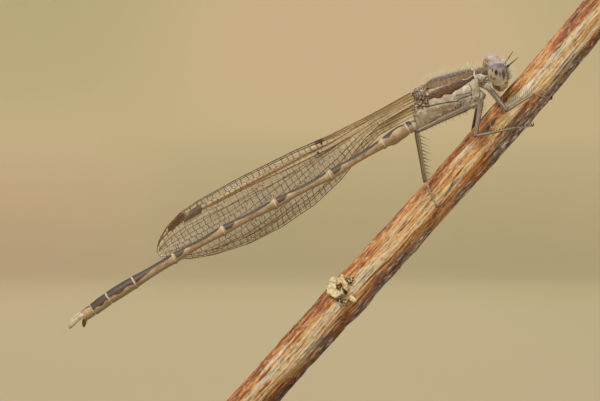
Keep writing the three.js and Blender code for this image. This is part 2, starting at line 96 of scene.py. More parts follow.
# Abdomen: length of each segment, its turn from the body axis, and its radii from front to back.
ABDOMEN_START = (0.12, 0, -0.13)
SEGMENTS = (
    (0.45, 0, (0.42, 0.45, 0.44)),
    (2.05, 1.3, (0.43, 0.5, 0.49, 0.43, 0.38)),
    (4.41, 1, (0.36, 0.33, 0.3, 0.29, 0.3, 0.34, 0.38)),
    (4.47, -2.65, (0.36, 0.32, 0.29, 0.28, 0.29, 0.33, 0.38)),
    (4.18, -2.8, (0.36, 0.32, 0.29, 0.28, 0.29, 0.33, 0.38)),
    (4.03, -0.6, (0.36, 0.32, 0.29, 0.28, 0.3, 0.34, 0.38)),
    (3.33, 1.2, (0.38, 0.365, 0.36, 0.37, 0.41, 0.45)),
    (2.16, 2.2, (0.45, 0.48, 0.49, 0.47)),
    (1.41, 6.7, (0.47, 0.475, 0.45)),
    (0.89, 3.4, (0.42, 0.42, 0.39)),
)

ABDOMEN_SIDES, ABDOMEN_STEP, HORN_TIP = 72, 0.055, 0.01
CERCUS_PATH = (
    (-0.1, 0.26, 0.14), (-0.28, 0.33, 0.16), (-0.72, 0.4, 0.14), (-1.14, 0.36, 0.02), (-1.42, 0.24, -0.1),
    (-1.46, 0.14, -0.14),
)
CERCUS_RADII = (0.12, 0.17, 0.17, 0.16, 0.1, 0.03)
PARAPROCT_PATH = ((-0.1, 0.16, -0.24), (-0.32, 0.15, -0.34), (-0.5, 0.11, -0.52), (-0.6, 0.07, -0.7))
PARAPROCT_RADII = (0.1, 0.15, 0.13, 0.04)

# Thorax: pairs of points on its back and underside (forward, up), with its half width there, head end first.
THORAX = (
    ((5.9, 0.92), (5.5, -0.42), 0.5),
    ((5.8, 1.26), (5.25, -0.9), 0.82),
    ((5.2, 1.54), (4.62, -1.06), 1.02),
    ((4.36, 1.78), (3.8, -0.92), 1.12),
    ((3.52, 2.0), (2.87, -0.8), 1.15),
    ((2.86, 2.12), (1.94, -0.7), 1.12),
    ((2.15, 1.95), (1.1, -0.65), 1.0),
    ((1.36, 1.5), (0.5, -0.62), 0.8),
    ((0.55, 0.72), (0.3, -0.56), 0.52),
)
THORAX_VOXEL, HEAD_VOXEL = 0.045, 0.034
THORAX_KNOBS = (
    ((1.62, 0.62, 1.66), (0.5, 0.32, 0.36)),
    ((1.0, 0.58, 0.92), (0.4, 0.3, 0.34)),
    ((2.1, 0.5, 1.86), (0.3, 0.25, 0.2)),
    ((1.3, 0.7, 1.3), (0.2, 0.16, 0.2)),
    ((0.75, 0.5, 0.6), (0.2, 0.2, 0.2)),
    ((5.42, 0.46, -0.68), (0.34, 0.26, 0.32)),
    ((4.6, 0.48, -0.95), (0.36, 0.26, 0.28)),
    ((3.9, 0.5, -0.85), (0.34, 0.26, 0.2)),
)
PROTHORAX = (
    ((6.1, 0, 0.5), (0.53, 0.66, 0.57)),
    ((5.86, 0, 0.72), (0.3, 0.56, 0.46)),
    ((6.42, 0, 0.66), (0.2, 0.5, 0.32)),
    ((6.1, 0, 0.02), (0.44, 0.52, 0.4)),
    *(((6.12, y, -0.26), (0.26, 0.22, 0.28)) for y in (0.38, -0.38)),
    ((6.7, 0, 0.34), (0.5, 0.24, 0.24)),
)

# Marks on the thorax, on the map of its flank: forward, then up as seen square to the leaning side.
BACK_LINE = (
    (1.5, 1.66), (2.2, 1.86), (2.62, 1.84), (3.12, 1.69), (3.59, 1.6), (4.2, 1.42), (4.54, 1.35),
    (5.2, 1.2), (5.5, 1.12),
)
OCHRE_LINE = (
    (1.6, 1.3), (2.25, 1.62), (2.71, 1.48), (3.07, 1.36), (3.72, 1.2), (4.37, 1.06), (4.84, 0.92),
    (5.1, 0.8), (5.5, 0.84),
)
CHESTNUT_TOP = (
    (1.4, 0.95), (1.7, 1.08), (1.98, 1.18), (2.28, 1.26), (2.71, 1.23), (3.32, 1.14), (3.98, 1.02),
    (4.66, 0.92), (5.08, 0.76), (5.6, 0.82),
)
CHESTNUT_LOW = (
    (5.64, 0.6), (4.99, 0.53), (4.61, 0.5), (4.2, 0.45), (3.9, 0.5), (3.72, 0.47), (3.56, 0.41),
    (3.32, 0.51), (3.05, 0.66), (2.77, 0.57), (2.52, 0.64), (2.33, 0.82), (2.04, 0.86), (1.63, 0.77),
    (1.4, 0.84),
)
DASH = ((2.22, 1.62), (2.46, 1.57), (2.68, 1.43))
SUTURES = (
    ((1.38, 0.64), (1.65, 0.48), (2.11, 0.33), (2.74, 0.13), (3.33, -0.11), (3.56, -0.21)),
    ((3.8, 0.16), (4.29, -0.04), (4.84, -0.18)),
    ((4.84, -0.18), (5.0, 0.05), (5.0, 0.4)),
    ((3.6, -0.25), (3.93, -0.2), (4.35, -0.26), (4.79, -0.36), (4.84, -0.18)),
    ((1.29, -0.59), (1.99, -0.52), (2.53, -0.54), (3.36, -0.69), (3.75, -0.65)),
    ((5.93, 1.3), (5.76, 0.93), (5.64, 0.8), (5.63, 0.43), (5.62, 0.0), (5.3, -0.4)),
    ((3.7, -0.62), (3.85, -0.4), (3.6, -0.25)),
    ((4.79, -0.36), (4.7, -0.6), (4.4, -0.75)),
)
SUTURE_STRENGTH = (1, 0.6, 0.7, 0.7, 0.7, 0.9, 0.6, 0.6)
# Lower edge of the flank, front edge of the thorax against the neck shield, and lower edge of that shield.
BREAST_LINE = ((1.3, 2, 2.5, 3.4, 3.8, 5), (-0.59, -0.52, -0.54, -0.69, -0.66, -0.6))
COLLAR_LINE = ((-0.4, 0, 0.43, 0.8, 0.93, 1.3), (5.3, 5.62, 5.63, 5.64, 5.76, 5.93))
SHIELD_LINE = ((5.5, 5.93, 6.16, 6.33, 6.6), (0.75, 0.71, 0.6, 0.4, 0.3))
PLATES = ((3.72, 0.1), (4.8, -0.2), (4.75, -0.38), (3.9, -0.28), (3.62, -0.22))
TAN_BAND = ((1.5, 0.2), (1.75, 0.1), (2.24, -0.08), (2.8, -0.2), (3.3, -0.3))
FLANK_SPOTS = ((3.84, 0.13, 0.1, 0.3), (3.56, 0.0, 0.05, 1), (3.37, -0.55, 0.06, 1), (2.9, -0.3, 0.04, 0.6))

# Head lumps in the head frame, x towards the face and z towards the crown: place, then radii.
HEAD_LUMPS = (
    ((0, 0, 0), (0.52, 1.25, 0.6)),
    ((-0.05, 0, 0.28), (0.46, 0.9, 0.36)),
    *(((0.14, y, 0.5), (0.16, 0.2, 0.14)) for y in (0.22, -0.22)),
    *(((-0.2, y, 0.5), (0.24, 0.26, 0.14)) for y in (0.4, -0.4)),
    ((0.5, 0, 0.02), (0.42, 0.6, 0.38)),
    ((0.66, 0, -0.32), (0.34, 0.52, 0.28)),
    ((0.7, 0, -0.62), (0.26, 0.46, 0.2)),
    *(((0.16, y, -0.94), (0.34, 0.16, 0.36)) for y in (0.52, -0.52)),
    ((0.02, 0, -0.95), (0.4, 0.44, 0.46)),
)
LABRUM_LUMPS = (
    ((0.58, 0, -0.92), (0.26, 0.42, 0.2)),
    ((0.48, 0, -1.16), (0.26, 0.36, 0.22)),
    ((0.2, 0, -1.38), (0.3, 0.3, 0.18)),
)
EYE_AT, EYE_RADII = (0, 1.42, 0.08), (0.72, 0.68, 0.87)
# Eye spots: colour, then turn from the outward direction towards the face, height, half width and half height
# in degrees, and how strongly each shows.
EYE_SPOTS = (
    ("black", -14, 17, 9, 13, 1),
    ("brown", -39, 31, 7, 12, 1),
    ("brown", -66, 41, 9, 7, 0.75),
    ("brown", 5, 8, 6, 15, 0.8),
    ("brown", -50, -2, 6, 8, 0.55),
    ("brown", -31, -13, 9, 5, 0.3),
    ("brown", 28, -2, 9, 22, 0.7),
    ("violet", 32, 12, 20, 24, 0.8),
    ("violet", 30, 50, 70, 22, 0.9),
    ("violet", -14, 58, 40, 15, 0.6),
    ("brown", 62, 4, 10, 34, 0.9),
    ("orange", -134, 26, 34, 26, 1),
)
ANTENNA_ROOT, ANTENNA_SPREAD, ANTENNA_LONG = (0.62, 0.42, 0.12), 0.3, 1.38
ANTENNA_SHAPE = (
    (-0.06, 0, 0.08, 0.14, 0.16, 0.25, 0.3, 0.33, 0.45, 0.6, 0.75, 0.9, 1.0),
    (0.01, 0.11, 0.13, 0.11, 0.08, 0.09, 0.085, 0.06, 0.055, 0.05, 0.04, 0.028, 0.01),
)

# Legs: femur from root to knee, ankle, then the way to the claws.
LEGS = {
    "front_right": (
        (10.21, -1.05, 28.69), (10.74, -2.0, 27.88), (11.33, -2.7, 27.01), (13.34, -1.85, 28.21),
        (14.0, -1.3, 28.06), (14.63, -0.45, 27.96),
    ),
    "mid_right": (
        (9.73, -1.1, 28.14), (9.44, -1.95, 26.78), (9.14, -2.5, 25.2), (12.11, -1.6, 25.83),
        (12.72, -1.2, 25.85), (13.32, -0.35, 26.02),
    ),
    "hind_right": (
        (9.14, -1.3, 27.45), (7.31, -2.0, 26.62), (5.05, -2.2, 25.54), (5.7, -1.55, 22.03),
        (5.97, -1.9, 21.24), (6.39, -1.95, 20.32),
    ),
    "front_left": (
        (10.15, -0.1, 28.88), (10.89, 1.0, 28.14), (11.65, 2.1, 27.21), (13.34, 1.8, 28.18),
        (13.81, 1.82, 28.59), (14.2, 1.72, 29.0),
    ),
    "mid_left": (
        (9.75, -0.1, 28.05), (9.51, 0.95, 26.94), (9.26, 1.9, 25.41), (11.66, 1.85, 26.36),
        (12.18, 1.88, 26.83), (12.68, 1.78, 27.28),
    ),
    "hind_left": (
        (9.08, 0.1, 27.59), (7.51, 0.8, 26.79), (5.1, 1.1, 25.72), (5.73, 1.35, 22.02), (6.56, 1.8, 21.62),
        (7.3, 1.98, 21.04),
    ),
}

LIMB_TIP = 0.012  # radius of the first and last ring of a limb

# Wings: distance from the root, then height above the line to the tip, along the leading and trailing edge.
FOREWING = {
    "length": 21.4,
    "costa": (
        (0, 0.29), (2.4, 0.36), (6.5, 0.62), (9, 0.92), (13.6, 1.22), (17.1, 1.28), (18.6, 1.16),
        (19.9, 0.78), (20.8, 0.25), (21.2, -0.1), (21.4, -0.42),
    ),
    "trail": (
        (0, -0.29), (3.0, -0.34), (4.6, -0.8), (6.8, -1.75), (9.5, -2.4), (12.6, -2.68), (15.2, -2.66),
        (17.8, -2.25), (19.4, -1.75), (20.6, -1.2), (21.2, -0.85), (21.4, -0.66),
    ),
    "stigma": (18.35, 19.95),
    "nodus": 0.354,
}
HINDWING = {
    "length": 20.8,
    "costa": (
        (0, 0.29), (2.4, 0.36), (6.2, 0.72), (9, 1.12), (13.2, 1.42), (15.8, 1.46), (17.3, 1.26),
        (18.7, 0.86), (19.9, 0.36), (20.5, -0.02), (20.8, -0.36),
    ),
    "trail": (
        (0, -0.29), (3.0, -0.34), (4.6, -0.85), (6.8, -1.85), (9.3, -2.55), (12.2, -2.85), (14.8, -2.78),
        (17.3, -2.3), (18.9, -1.75), (20.0, -1.18), (20.6, -0.78), (20.8, -0.6),
    ),
    "stigma": (16.6, 18.2),
    "nodus": 0.38,
}
WINGS = {
    "forewing_right": (FOREWING, (4.86, 27.88), (-13.64, 17.34), -1.25, 0.32, 6.5),
    "hindwing_right": (HINDWING, (4.98, 27.12), (-13.54, 17.13), -1.2, 1.17, 4.5),
    "hindwing_left": (HINDWING, (4.88, 27.33), (-13.5, 17.23), 0.05, 2.02, 4.5),
    "forewing_left": (FOREWING, (4.83, 28.14), (-13.81, 17.39), 0.05, 2.87, 4.1),
}
# Course of the first long vein: share of the wing's length, then how far down the wing's width it runs there.
RADIUS_VEIN = ((0, 0.12, 0.3, 0.6, 0.84, 0.92, 0.985), (0.62, 0.5, 0.3, 0.2, 0.16, 0.15, 0.05))
# Long veins: start and end as shares of the wing's length, then how far down its width each runs at both.
LONG_VEINS = (
    (0.0, 0.35, 0.3, 0.0),
    (0.0, 0.985, 0.5, 0.16),
    (0.16, 0.992, 0.42, 0.3),
    (0.3, 0.99, 0.32, 0.5),
    (0.28, 0.975, 0.34, 0.74),
    (0.24, 0.95, 0.38, 0.99),
    (0.15, 0.86, 0.62, 0.99),
    (0.15, 0.72, 0.78, 0.99),
    (0.6, 0.985, 0.31, 0.4),
)


# Small tools for meshes.


def deselect():
    if bpy.context.object and bpy.context.object.mode != "OBJECT":
        bpy.ops.object.mode_set(mode="OBJECT")
    bpy.ops.object.select_all(action="DESELECT")


def only(*objects):
    deselect()
    for obj in objects:
        obj.select_set(True)
    bpy.context.view_layer.objects.active = objects[0]


def named(name):
    obj = bpy.context.object
    obj.name = obj.data.name = name
    return obj


def joined(name, objects):
    only(*objects)
    if len(objects) > 1:
        bpy.ops.object.join()
    return named(name)


def coordinates(obj):
    points = np.empty(len(obj.data.vertices) * 3, np.float32)
    obj.data.vertices.foreach_get("co", points)
    return points.reshape(-1, 3).astype(float)


def move_points(obj, points):
    obj.data.vertices.foreach_set("co", np.asarray(points, np.float32).ravel())
    obj.data.update()


def normals_of(obj):
    out = np.empty(len(obj.data.vertices) * 3, np.float32)
    obj.data.vertex_normals.foreach_get("vector", out)
    return out.reshape(-1, 3).astype(float)


def field(obj, label, values):
    """Stores one number for each point of a mesh, which its material reads by name."""
    layer = obj.data.attributes.get(label) or obj.data.attributes.new(label, "FLOAT", "POINT")
    layer.data.foreach_set("value", np.asarray(values, np.float32).ravel())


def fields(obj, **values):
    for label, value in values.items():
        field(obj, label, value)


def fill(obj, **values):
    """Stores the same number of each field for every point of a mesh."""
    for label, value in values.items():
        field(obj, label, np.full(len(obj.data.vertices), value))


def circle(count):
    """Angles at even steps once round."""
    return np.linspace(0, 2 * math.pi, count, endpoint=False)


def leave_edit(inside=False):
    """Turns every face of the mesh in edit mode the same way and leaves edit mode."""
    bpy.ops.mesh.select_all(action="SELECT")
    bpy.ops.mesh.normals_make_consistent(inside=inside)
    bpy.ops.object.mode_set(mode="OBJECT")


def tube(name, rings, fields=None):
    """A grid rolled into a closed tube through rings of points, each with a number of each field."""
    columns, rows = len(rings[0]), len(rings)
    deselect()
    bpy.ops.mesh.primitive_grid_add(x_subdivisions=columns, y_subdivisions=rows - 1, size=2)
    obj = named(name)
    rings = np.asarray(rings, float)
    move_points(obj, np.concatenate([rings, rings[:, :1]], axis=1))
    for label, values in (fields or {}).items():
        values = np.asarray(values, float)
        field(obj, label, np.concatenate([values, values[:, :1]], axis=1))
    bpy.ops.object.mode_set(mode="EDIT")
    bpy.ops.mesh.select_all(action="SELECT")
    bpy.ops.mesh.remove_doubles(threshold=1e-5)
    bpy.ops.mesh.select_all(action="SELECT")
    bpy.ops.mesh.fill_holes(sides=0)
    leave_edit()
    return obj


def ball(name, at, radii, segments=24, rings=16):
    deselect()
    bpy.ops.mesh.primitive_uv_sphere_add(segments=segments, ring_count=rings, radius=1, location=at)
    bpy.ops.transform.resize(value=radii)
    bpy.ops.object.transform_apply()
    return named(name)


def remeshed(obj, size, rounds=4):
    """Closes overlapping forms into one even skin and eases its creases."""
    only(obj)
    skin = obj.modifiers.new("Skin", "REMESH")
    skin.mode = "VOXEL"
    skin.voxel_size = size
    bpy.ops.object.modifier_apply(modifier=skin.name)
    if rounds:
        ease = obj.modifiers.new("Ease", "SMOOTH")
        ease.factor = 0.6
        ease.iterations = rounds
        bpy.ops.object.modifier_apply(modifier=ease.name)
    return obj


def smooth_table(table, count):
    """Rows of numbers resampled to count rows on a smooth curve through them."""
    table = np.asarray(table, float)
    if table.ndim == 1:
        table = table[:, None]
    rows = []
    last = len(table) - 1
    for place in np.linspace(0, last, count):
        i = min(int(place), last - 1)
        t = place - i
        p0, p1, p2, p3 = table[max(i - 1, 0)], table[i], table[i + 1], table[min(i + 2, last)]
        bend, twist = 2 * p0 - 5 * p1 + 4 * p2 - p3, 3 * p1 - p0 - 3 * p2 + p3
        rows.append(0.5 * (2 * p1 + (p2 - p0) * t + bend * t**2 + twist * t**3))
    return np.array(rows)


def limb_rings(path, radii, sides, flat=1.0, across=(0, 1, 0)):
    """Rings of points round a path, square to it."""
    path = np.asarray(path, float)
    ahead = np.gradient(path, axis=0)
    ahead /= np.linalg.norm(ahead, axis=1)[:, None]
    side = np.asarray(across, float)
    turns = circle(sides)
    rings = []
    for point, along, radius in zip(path, ahead, radii):
        side = side - along * side.dot(along)
        side /= np.linalg.norm(side)
        up = np.cross(along, side)
        rings.append(point + radius * (np.outer(np.cos(turns), side) * flat + np.outer(np.sin(turns), up)))
    return np.array(rings)


def line_distance(points, line):
    """Distance of each flat point from an open line."""
    best = np.full(len(points), 1e9)
    for a, b in zip(np.asarray(line[:-1], float), np.asarray(line[1:], float)):
        step = b - a
        share = np.clip((points - a) @ step / step.dot(step), 0, 1)
        best = np.minimum(best, np.linalg.norm(points - a - share[:, None] * step, axis=1))
    return best


def area_distance(points, outline):
    """Distance of each flat point from a closed outline, positive inside it."""
    line = [*outline, outline[0]]
    inside = np.zeros(len(points), bool)
    for (x0, y0), (x1, y1) in zip(line[:-1], line[1:]):
        crosses = (y0 > points[:, 1]) != (y1 > points[:, 1])
        rise = y1 - y0 if y1 != y0 else 1e-9
        inside ^= crosses & (points[:, 0] < (x1 - x0) * (points[:, 1] - y0) / rise + x0)
    return line_distance(points, line) * np.where(inside, 1, -1)


def fractal(points, scale, octaves=3):
    """Smooth noise of about -1 to 1 at each point."""
    return np.array([noise.fractal(Vector(p) * scale, 1.0, 2.0, octaves) for p in points])


def finish(obj, material, nodes=(), smooth=True):
    """Brings a piece from millimetres to metres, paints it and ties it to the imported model."""
    obj.data.transform(Matrix.Scale(1 / MM, 4))
    obj.data.materials.clear()
    obj.data.materials.append(material)
    if smooth:
        only(obj)
        bpy.ops.object.shade_smooth()
    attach(obj, "root")
    if nodes:
        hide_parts(*nodes)
    return obj


# Small tools for materials.


def shade(code):
    """A colour as the shader's linear numbers, from its screen code; what isn't a code stays as it is."""
    if not isinstance(code, str):
        return code
    values = [int(code[i : i + 2], 16) / 255 for i in (1, 3, 5)]
    return tuple(v / 12.92 if v <= 0.04045 else ((v + 0.055) / 1.055) ** 2.4 for v in values)


def put(node, inputs):
    for key, value in inputs.items():
        socket = node.inputs[key]
        if isinstance(value, bpy.types.NodeSocket):
            node.id_data.links.new(value, socket)
        elif socket.type == "RGBA" and len(value) == 3:
            socket.default_value = (*value, 1)
        else:
            socket.default_value = value
    return node


def add(tree, kind, inputs=None, **settings):
    node = tree.nodes.new("ShaderNode" + kind)
    for key, value in settings.items():
        setattr(node, key, value)
    return put(node, inputs or {})


def maths(tree, operation, *values):
    node = add(tree, "Math", operation=operation)
    put(node, dict(enumerate(values)))
    return node.outputs[0]


def swung(tree, value, by, amount):
    """A value moved up and down by a noise about its middle."""
    return maths(tree, "ADD", value, maths(tree, "MULTIPLY", maths(tree, "SUBTRACT", by, 0.5), amount))


def mixed(tree, factor, first, second):
    node = add(tree, "Mix", data_type="RGBA")
    put(node, {0: factor, 6: shade(first), 7: shade(second)})
    return node.outputs[2]


def object_place(tree):
    return add(tree, "TexCoord").outputs["Object"]


def noisy(tree, place, scale, detail, **more):
    """Soft noise of about 0 to 1 over the places given."""
    return add(tree, "TexNoise", {"Vector": place, "Scale": scale, "Detail": detail, **more}).outputs[0]


def new_group(name, inputs, outputs):
    tree = bpy.data.node_groups.new(name, "ShaderNodeTree")
    for label, value in inputs.items():
        kind = "NodeSocketColor" if isinstance(value, tuple) else "NodeSocketFloat"
        socket = tree.interface.new_socket(label, in_out="INPUT", socket_type=kind)
        socket.default_value = (*value, 1) if isinstance(value, tuple) else value
    for label, kind in outputs.items():
        tree.interface.new_socket(label, in_out="OUTPUT", socket_type=kind)
    return tree, tree.nodes.new("NodeGroupInput").outputs, tree.nodes.new("NodeGroupOutput").inputs


def ragged_group():
    """A mask that is white where a field is above zero, with a soft and uneven edge."""
    if "Ragged edge" in bpy.data.node_groups:
        return bpy.data.node_groups["Ragged edge"]
    tree, given, out = new_group(
        "Ragged edge",
        {"Field": 0.0, "Width": 0.03, "Raggedness": 0.1, "Scale": 4000.0},
        {"Mask": "NodeSocketFloat"},
    )
    place = object_place(tree)
    wander = noisy(tree, place, given["Scale"], 3.0)
    value = swung(tree, given["Field"], wander, given["Raggedness"])
    low = maths(tree, "MULTIPLY", given["Width"], -1.0)
    step = add(
        tree, "MapRange", {"Value": value, "From Min": low, "From Max": given["Width"]},
        interpolation_type="SMOOTHSTEP",
    )
    tree.links.new(step.outputs[0], out["Mask"])
    return tree


def cuticle_group():
    """Uneven colour, fine flecks and relief of an insect's hard skin."""
    if "Cuticle grain" in bpy.data.node_groups:
        return bpy.data.node_groups["Cuticle grain"]
    tree, given, out = new_group(
        "Cuticle grain",
        {"Scale": 3000.0, "Fleck Scale": 12000.0},
        {"Cloud": "NodeSocketFloat", "Flecks": "NodeSocketFloat", "Height": "NodeSocketFloat"},
    )
    place = object_place(tree)
    cloud = noisy(tree, place, given["Scale"], 4.0, Roughness=0.6)
    cells = add(tree, "TexVoronoi", {"Vector": place, "Scale": given["Fleck Scale"]}).outputs["Distance"]
    flecks = add(
        tree, "MapRange", {"Value": cells, "From Min": 0.32, "From Max": 0.12},
        interpolation_type="SMOOTHSTEP",
    ).outputs[0]
    fine = noisy(tree, place, given["Fleck Scale"], 2.0)
    height = maths(tree, "ADD", maths(tree, "MULTIPLY", cells, 0.5), maths(tree, "ADD", fine, cloud))
    tree.links.new(cloud, out["Cloud"])
    tree.links.new(flecks, out["Flecks"])
    tree.links.new(height, out["Height"])
    return tree


def streak_group():
    """Long uneven streaks along an axis that leans in the plane of the stem, as in split wood and bast."""
    if "Fibre streaks" in bpy.data.node_groups:
        return bpy.data.node_groups["Fibre streaks"]
    tree, given, out = new_group(
        "Fibre streaks",
        {"Scale": 1500.0, "Stretch": 0.08, "Detail": 4.0, "Shift": 0.0},
        {"Streaks": "NodeSocketFloat"},
    )
    place = object_place(tree)
    lean = math.atan2(STEM_AXIS[-1][1] - STEM_AXIS[0][1], STEM_AXIS[-1][0] - STEM_AXIS[0][0])
    turned = add(tree, "Mapping", {"Vector": place, "Rotation": (0, lean, 0)}).outputs[0]
    stretch = add(tree, "CombineXYZ", {"X": given["Stretch"], "Y": 1.0, "Z": 1.0}).outputs[0]
    squeezed = add(tree, "VectorMath", {0: turned, 1: stretch}, operation="MULTIPLY").outputs[0]
    shift = add(tree, "CombineXYZ", {"X": given["Shift"], "Y": given["Shift"]}).outputs[0]
    moved = add(tree, "VectorMath", {0: squeezed, 1: shift}, operation="ADD").outputs[0]
    streaks = noisy(tree, moved, given["Scale"], given["Detail"], Roughness=0.62, Distortion=0.3)
    tree.links.new(streaks, out["Streaks"])
    return tree


class Finish:
    """A material in the making: its tree, its shader, and the colour laid on so far."""

    def __init__(self, name, colour, **inputs):
        self.material = bpy.data.materials.new(name)
        self.material.use_nodes = True
        self.tree = self.material.node_tree
        self.shader = self.tree.nodes["Principled BSDF"]
        self.colour = add(self.tree, "RGB").outputs[0]
        self.colour.default_value = (*shade(colour), 1)
        put(
            self.shader,
            {key.replace("_", " ").title() if key != "IOR" else key: value for key, value in inputs.items()},
        )

    def group(self, tree, **inputs):
        node = self.tree.nodes.new("ShaderNodeGroup")
        node.node_tree = tree
        return put(node, {key.replace("_", " ").title(): value for key, value in inputs.items()}).outputs

    def grain(self, scale, fleck_scale):
        return self.group(cuticle_group(), scale=scale, fleck_scale=fleck_scale)

    def read(self, label):
        """A field of the mesh by its name; what isn't a name stays as it is."""
        if not isinstance(label, str):
            return label
        return add(self.tree, "Attribute", attribute_name=label).outputs["Fac"]

    def edge(self, label, width=0.02, raggedness=0.06, scale=5000.0, offset=0.0):
        value = self.read(label)
        if offset:
            value = maths(self.tree, "ADD", value, offset)
        return self.group(
            ragged_group(), field=value, width=width, raggedness=raggedness, scale=scale,
        )["Mask"]

    def scaled(self, value, amount):
        return maths(self.tree, "MULTIPLY", value, amount)

    def ramp(self, value, low, high, first=0.0, last=1.0):
        inputs = {
            "Value": self.read(value), "From Min": low, "From Max": high, "To Min": first, "To Max": last,
        }
        return add(self.tree, "MapRange", inputs).outputs[0]

    def layer(self, colour, mask, amount=None):
        """Lays a colour over what is there, where the mask is white, by a share where one is given."""
        if amount is not None:
            mask = self.scaled(mask, amount)
        self.colour = mixed(self.tree, mask, self.colour, colour)

    def marks(self, *rows):
        """Lays a colour on each named field: the colour, its share, then what edge takes."""
        for colour, amount, *edge in rows:
            self.layer(colour, self.edge(*edge), amount)

    def done(self, height=None, distance=0.00002, strength=0.5, roughness=None):
        self.tree.links.new(self.colour, self.shader.inputs["Base Color"])
        if height is not None:
            bump = add(self.tree, "Bump", {"Height": height, "Distance": distance, "Strength": strength})
            self.tree.links.new(bump.outputs[0], self.shader.inputs["Normal"])
        if roughness is not None:
            self.tree.links.new(roughness, self.shader.inputs["Roughness"])
        return self.material


# Settings that a user would change.


def setting(label, text, default, **more):
    return FloatProperty(name=label, description=text, default=default, **more)


def colour_setting(label, text, code):
    return FloatVectorProperty(
        name=label, description=text, subtype="COLOR", default=shade(code), min=0, max=1,
    )


class StandSettings(bpy.types.PropertyGroup):
    wood: colour_setting("Wood", "Colour of the stained base", "#4b3527")
    metal: colour_setting("Metal", "Colour of the brushed rod", "#b4b4b2")
    length: setting("Base length", "Length of the base", 0.0412, unit="LENGTH")
    width: setting("Base width", "Width of the base", 0.022, unit="LENGTH")
    height: setting("Base height", "Height of the base", 0.003, unit="LENGTH")


class StemSettings(bpy.types.PropertyGroup):
    bark: colour_setting("Bark", "Colour of the weathered bark", "#b46a2c")
    wood: colour_setting("Bare wood", "Colour of the wood where the bark is gone", "#e4cb98")
    dark: colour_setting("Stain", "Colour of the dark purple stains", "#33201f")
    silver: colour_setting("Flakes", "Colour of the silvery flakes", "#cdbfae")
    relief: setting("Fibre relief", "Height of the fibres", 0.00009, unit="LENGTH")


class BodySettings(bpy.types.PropertyGroup):
    pale: colour_setting("Flank", "Pale cream of the flank", "#d2c7b2")
    ochre: colour_setting("Ochre", "Ochre of the stripe", "#8a652f")
    side: colour_setting("Side", "Tan of the sides of the abdomen", "#a98d69")
    bronze: colour_setting("Bronze", "Grey bronze of the back", "#574532")
    chestnut: colour_setting("Chestnut", "Golden brown of the shoulder band", "#73491f")
    dark: colour_setting("Mark", "Dark marks along the abdomen", "#4a3631")
    belly: colour_setting("Belly", "Olive grey of the underside", "#a39a7c")
    hair_length: setting("Hair length", "Longest hair on the back", 0.00072, unit="LENGTH")
    hairs: IntProperty(
        name="Hairs", description="Number of hairs on the back and breast", default=640, min=0, max=4000,
    )


class HeadSettings(bpy.types.PropertyGroup):
    face: colour_setting("Face", "Beige of the face", "#c8b896")
    eye: colour_setting("Eye", "Beige of the lower half of the eye", "#bdb19e")
    cap: colour_setting("Cap", "Violet grey of the upper half of the eye", "#5d5064")
    spot: colour_setting("Spots", "Dark spots of the eye", "#2f1d17")


class LegSettings(bpy.types.PropertyGroup):
    pale: colour_setting("Leg", "Pale grey brown of the legs", "#a5947b")
    stripe: colour_setting("Stripe", "Dark stripe of the legs", "#3c2a1e")
    spine: setting("Spine length", "Longest spine of the shin", 0.00105, unit="LENGTH")


class WingSettings(bpy.types.PropertyGroup):
    membrane: colour_setting("Membrane", "Pale tint of the clear membrane", "#e6dabd")
    vein: colour_setting("Vein", "Brown of the veins", "#573b22")
    stigma: colour_setting("Wing spot", "Purple brown of the spot near the tip", "#5c3a24")
    clear: setting("Cover", "How much one face of the membrane covers", 0.33, min=0, max=1)
    cell: setting("Cell size", "Usual length of a cell", 0.00047, unit="LENGTH")


class StageSettings(bpy.types.PropertyGroup):
    backdrop: colour_setting("Backdrop", "Colour of the floor and backdrop", "#cdbb93")
    lens: setting("Lens", "Focal length in millimetres", 125, min=10)
    key: setting("Key light", "Power of the main soft light", 1.32, subtype="POWER")
    fill: setting("Fill light", "Power of each fill light", 0.42, subtype="POWER")
    paper: setting("Backdrop light", "Power of the light on the backdrop", 1.24, subtype="POWER")


class DamselflySettings(bpy.types.PropertyGroup):
    stand: PointerProperty(type=StandSettings, name="Stand", description="Sizes and colours of the stand")
    stem: PointerProperty(type=StemSettings, name="Stem", description="Colours and relief of the stem")
    body: PointerProperty(type=BodySettings, name="Body", description="Colours and hairs of the body")
    head: PointerProperty(type=HeadSettings, name="Head", description="Colours of the head")
    leg: PointerProperty(type=LegSettings, name="Legs", description="Colours and spines of the legs")
    wing: PointerProperty(type=WingSettings, name="Wings", description="Colours and cells of the wings")
    stage: PointerProperty(type=StageSettings, name="Stage", description="Camera, lights and backdrop")


# Stem and stand.


def stem_axis(count):
    """Points of the stem's axis at even steps of its length."""
    fine = smooth_table(STEM_AXIS, 400)
    run = np.concatenate([[0], np.cumsum(np.linalg.norm(np.diff(fine, axis=0), axis=1))])
    at = np.linspace(0, run[-1], count)
    x, z = np.interp(at, run, fine[:, 0]), np.interp(at, run, fine[:, 1])
    return np.stack([x, np.zeros(count), z], axis=1)


def stem_radius(share):
    plain = np.interp(share * (len(STEM_RADII) - 1), range(len(STEM_RADII)), STEM_RADII)
    return plain + 0.1 * np.exp(-(((share - SCAR_ALONG) / 0.03) ** 2))


# Tone of the stem round its girth, as turn from the viewer's side and lightness, from dark stain to silver.
GIRTH_TONE = (
    (-180, 0.35), (-140, 0.5), (-110, 0.42), (-88, 0.48), (-74, 0.42), (-62, 0.34), (-54, 0.24),
    (-46, 0.42), (-28, 0.6), (-10, 0.7), (5, 0.74), (20, 0.64), (34, 0.56), (48, 0.54), (58, 0.34),
    (68, 0.44), (78, 0.3), (90, 0.4), (120, 0.5), (150, 0.35), (180, 0.35),
)
